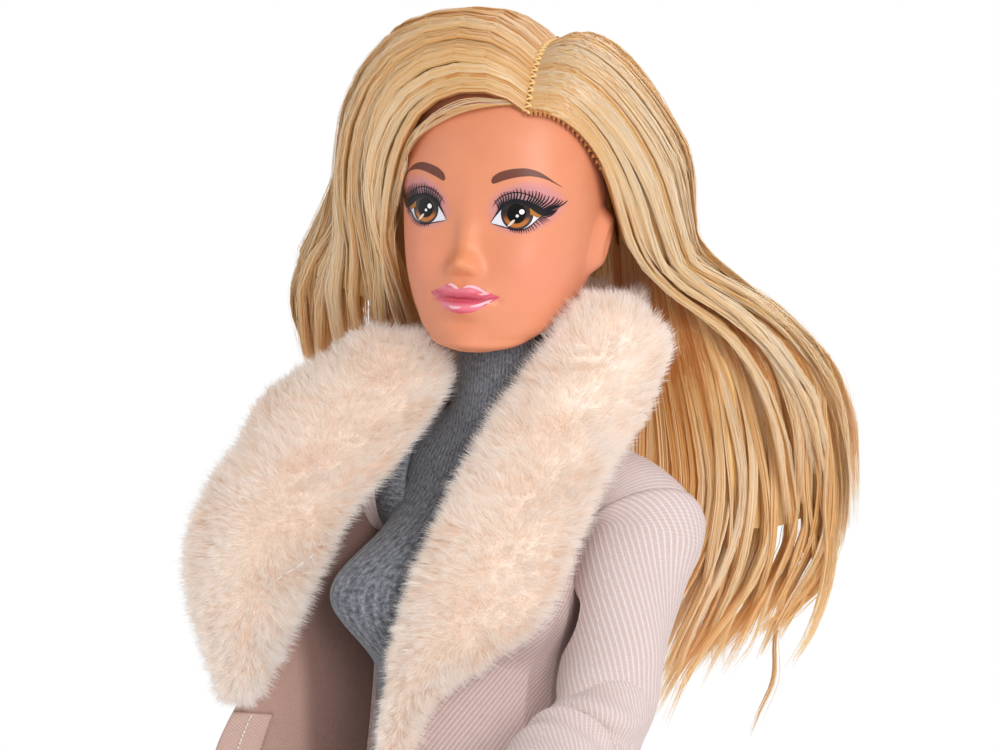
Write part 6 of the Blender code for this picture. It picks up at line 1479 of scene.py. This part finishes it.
def clear_of_coat(points, apart):
    """Below the armhole the sleeve lies against the coat's side instead of inside it."""
    x, y, z = np.moveaxis(points, -1, 0)
    share = (z - HIP_Z) / TRUNK_LENGTH
    angle = np.arctan2(x, 1 - y)
    coat = coat_grid(share, angle, CLOTH + 0.15 + apart) - np.array((0, 1, 0))
    here = np.hypot(x, y - 1)
    least = np.hypot(coat[..., 0], coat[..., 1])
    least = least * step_up(-share, -0.74, -0.66) * step_up(share, 0.30, 0.36)
    grow = np.maximum(least / np.maximum(here, 1e-6), 1)
    return np.stack([x * grow, 1 + (y - 1) * grow, z], -1)


# Radius of each sleeve by the share of its length
SLEEVE_RADII = {
    1: ((0.0, 7.1), (0.08, 7.2), (0.2, 7.0), (0.36, 6.8), (0.50, 6.0), (0.60, 5.6), (0.8, 6.2), (1.0, 5.8)),
    -1: ((0.0, 7.1), (0.08, 7.2), (0.2, 6.6), (0.36, 6.2), (0.55, 5.9), (0.62, 5.9), (0.8, 5.6), (1.0, 5.2)),
}
shoulders, knit_shoulders = [], []
for side, label in SIDES.items():
    outside, elbow_at = sleeve_skin(side, 0)
    inside, _ = sleeve_skin(side, -THIN_CLOTH)
    low_outside, _ = sleeve_skin(side, 0, lower=True)
    low_inside, _ = sleeve_skin(side, -THIN_CLOTH, lower=True)
    elbow_row = round(elbow_at / LINE_STEP)
    # The shoulder of the coat ends at the armhole seam; the sleeve's cap stands up a little behind the seam
    cap_rows = slice(0, SEAM_ROW + 3, 2)
    cap = tube_shell(f"coat_shoulder_{label}_cloth", inside[cap_rows], outside[cap_rows], yoke_rib)
    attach(cap, f"shoulder_disc_{label}")
    shoulders.append(cap)
    shoulder = CENTRE + np.array((side * SHOULDER_X, 1, SHOULDER_Z)) * MM
    line, ways, _ = sleeve_line(side)
    at = CENTRE + line[elbow_row] * MM
    way = ways[elbow_row] * MM
    middle = line[:, None]
    puff = 1 + 0.07 * np.exp(-((np.arange(len(line)) - SEAM_ROW - 3) / 5.0) ** 2)[:, None, None]
    upper_rows = slice(SEAM_ROW, elbow_row + UPPER_PAST_ELBOW, 2)
    grids = [(middle + (grid - middle) * puff)[upper_rows] for grid in (inside, outside)]
    upper = tube_shell(f"sleeve_upper_{label}_cloth", *grids, sleeve_rib)
    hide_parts(f"sleeve_upper_{label}")
    blend_from, blend_to = (shoulder + run * way for run in SHOULDER_BLEND)
    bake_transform(upper)
    declare(upper, grids[1], "hung", f"upper_arm_{label}", f"coat_shoulder_{label}_cloth")
    lower_rows = slice(elbow_row - LOWER_BEFORE_ELBOW, None, 2)
    grids = low_inside[lower_rows], low_outside[lower_rows]
    lower = tube_shell(f"sleeve_lower_{label}_cloth", *grids, forearm_rib)
    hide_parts(f"sleeve_lower_{label}")
    blend_from, blend_to = at - ELBOW_BLEND * way, at + ELBOW_BLEND * way
    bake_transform(lower)
    declare(lower, grids[1], "hung", f"forearm_{label}", f"sleeve_upper_{label}_cloth")
    # The sweater's own shoulder fills the armhole under the coat
    start = line[0] - np.array((side, 0, 0)) * np.linspace(4.5, 0.5, 9)[:, None]
    run = np.concatenate([start, line[:26:2]])
    turn = np.linspace(0, math.tau, 73)[:-1]
    ring = np.stack([0 * turn, np.cos(turn), np.sin(turn)], -1)
    tilt = np.concatenate([np.tile((side, 0.0, 0.0), (9, 1)), ways[:26:2]])
    flat_ring = ring[None] - tilt[:, None] * (ring @ tilt.T).T[..., None]
    fat = np.interp(np.arange(len(run)), (0, 4, 7, 9, 13, 21), (8.3, 8.5, 8.0, 7.2, 6.3, 6.1))
    fat = fat[:, None, None]
    # It is flatter behind, so that it stays inside the coat's back
    fat = fat - 1.6 * np.clip(np.cos(turn), 0, 1)[None, :, None]
    knit = [run[:, None] + (fat - thin) * unit(flat_ring) for thin in (THIN_CLOTH, 0)]
    under = tube_shell(f"sweater_shoulder_{label}", *knit, jersey)
    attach(under, f"shoulder_disc_{label}")
    knit_shoulders.append(under)
declare(sweater, jersey_surface, "stretched", "torso_front", "torso_back", sewn_on=knit_shoulders)
declare(coat_left, left_outside, "hung", "torso_front", "sweater_knit", sewn_on=shoulders[:1])
declare(coat_back, back_outside, "hung", "torso_back", "sweater_knit", sewn_on=shoulders[1:])


# Trousers: dark brushed cloth, cut in a yoke round the hips and two legs, each in a thigh and a shin tube
# that meet at the knee.
YOKE_LOW_SHARE, YOKE_HIGH_SHARE, YOKE_EASE = -0.045, 0.357, 1.2
LEG_X, KNEE_Z, TROUSER_HEM_Z, KNEE_BLEND = 9.4, 84, 29, 8
trouser_cloth = ribbed("trouser_cloth", 0.6, pitch=0.5, light=(58, 58, 62), base=(36, 36, 40), strength=0.3)
levels = np.linspace(YOKE_LOW_SHARE, YOKE_HIGH_SHARE, 46)
share, angle = np.meshgrid(levels, np.linspace(0, math.tau, 121)[:-1], indexing="ij")
skin_radius, centre = trunk_radius(share, angle)
hips = round_trunk(share, angle, skin_radius + YOKE_EASE, centre)
hips_inside = round_trunk(share, angle, skin_radius + YOKE_EASE - THIN_CLOTH, centre)
yoke = tube_shell("trouser_yoke_cloth", hips_inside, hips, trouser_cloth)
declare(yoke, hips, "stretched", "torso_front", "torso_back")
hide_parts("trouser_yoke")
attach(yoke, "torso")
# Height and radius of the legs' outside; each thigh ends in a ball about the hip joint, so that a swung leg
# leaves no gap under the yoke
THIGH_RADII = ((162.2, 3.4), (160.6, 5.9), (158.2, 7.8), (154.0, 8.8), (148.0, 8.7), (140.0, 8.75),
               (126.0, 8.2), (112.0, 7.6), (100.0, 7.1), (88.0, 7.1), (84.0, 7.1))
SHIN_RADII = ((83.7, 7.0), (78.0, 7.1), (65.0, 7.2), (50.0, 6.4), (38.0, 5.9), (27.2, 6.2))
for side, label in SIDES.items():
    for part, table in (("thigh", THIGH_RADII), ("shin", SHIN_RADII)):
        run = np.linspace(0, 1, 84)
        height, radius = smooth_rows(run, np.column_stack([np.linspace(0, 1, len(table)), table]))
        height, angle = np.meshgrid(height, np.linspace(0, math.tau, 81)[:-1], indexing="ij")
        near_knee = np.exp(-(((height - KNEE_Z) / 9) ** 2))
        behind = np.clip(0.4 + np.cos(angle + math.pi), 0, 1)
        crease = 0.30 * np.sin(1.3 * height + 1.5 * np.sin(angle)) * near_knee * behind
        near_hem = np.exp(-(((height - TROUSER_HEM_Z) / 6) ** 2))
        stack = 0.28 * np.sin(1.6 * height + np.sin(2 * angle)) * near_hem
        radius = radius[:, None] + crease + stack
        rings = [
            np.stack([side * LEG_X + r * np.sin(angle), 1 - r * np.cos(angle), height], -1)
            for r in (radius - THIN_CLOTH, radius)
        ]
        leg = tube_shell(f"trouser_{part}_{label}_cloth", *rings, trouser_cloth)
        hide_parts(f"trouser_{part}_{label}")
        if part == "shin":
            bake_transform(leg)
        else:
            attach(leg, f"thigh_{label}")
        declare(leg, rings[1], "hung", f"{part}_{label}")


# What the cloth covers: a tan body of smooth hard plastic, pale pins, and ankle boots with a rubber sole.
# Their shapes are the solids' own.
def moulded(name, light, dark, roughness, bump, grain=0.9):
    """Moulded plastic or leather: soft clouds of tone and a fine grain in the bump, duller where it is high."""
    finish, shader, place = finish_named(name)
    cloud = place.node("ShaderNodeTexNoise", {}, {"Vector": place, "Scale": 0.10, "Detail": 2.0})
    pore = place.node("ShaderNodeTexVoronoi", {}, {"Vector": place, "Scale": grain})
    connect(shader, Base_Color=(cloud * 0.7 + pore * 0.4).mix(tint(*dark), tint(*light)),
            Roughness=pore * 0.1 + roughness,
            Normal=pore.node("ShaderNodeBump", {}, {"Height": pore, "Strength": bump, "Distance": 0.05 * MM}))
    return finish


def dress(finish, *nodes):
    """Gives solids their finish."""
    for node in nodes:
        for slot in bpy.data.objects[node].material_slots:
            slot.material = finish


body_plastic = moulded("tan_body_plastic", (238, 164, 128), (222, 142, 104), 0.36, 0.10)
pin_plastic = moulded("pale_pin_plastic", (238, 226, 208), (220, 204, 184), 0.30, 0.08)
boot_leather = moulded("boot_leather", (74, 62, 56), (44, 36, 33), 0.42, 0.55)
boot_rubber = moulded("boot_rubber", (52, 50, 50), (30, 29, 29), 0.62, 0.35)
BODY_NODES = ("shoulder_disc", "upper_arm", "forearm", "hand", "hip_disc", "thigh", "shin")
dress(body_plastic, "torso_front", "torso_back")
dress(pin_plastic, "neck_post")
for label in SIDES.values():
    dress(body_plastic, *(f"{part}_{label}" for part in BODY_NODES))
    dress(pin_plastic, *(f"{part}_pin_{label}" for part in ("shoulder", "elbow", "hip", "knee")))
    dress(boot_leather, f"boot_{label}")
    dress(boot_rubber, f"boot_sole_{label}")
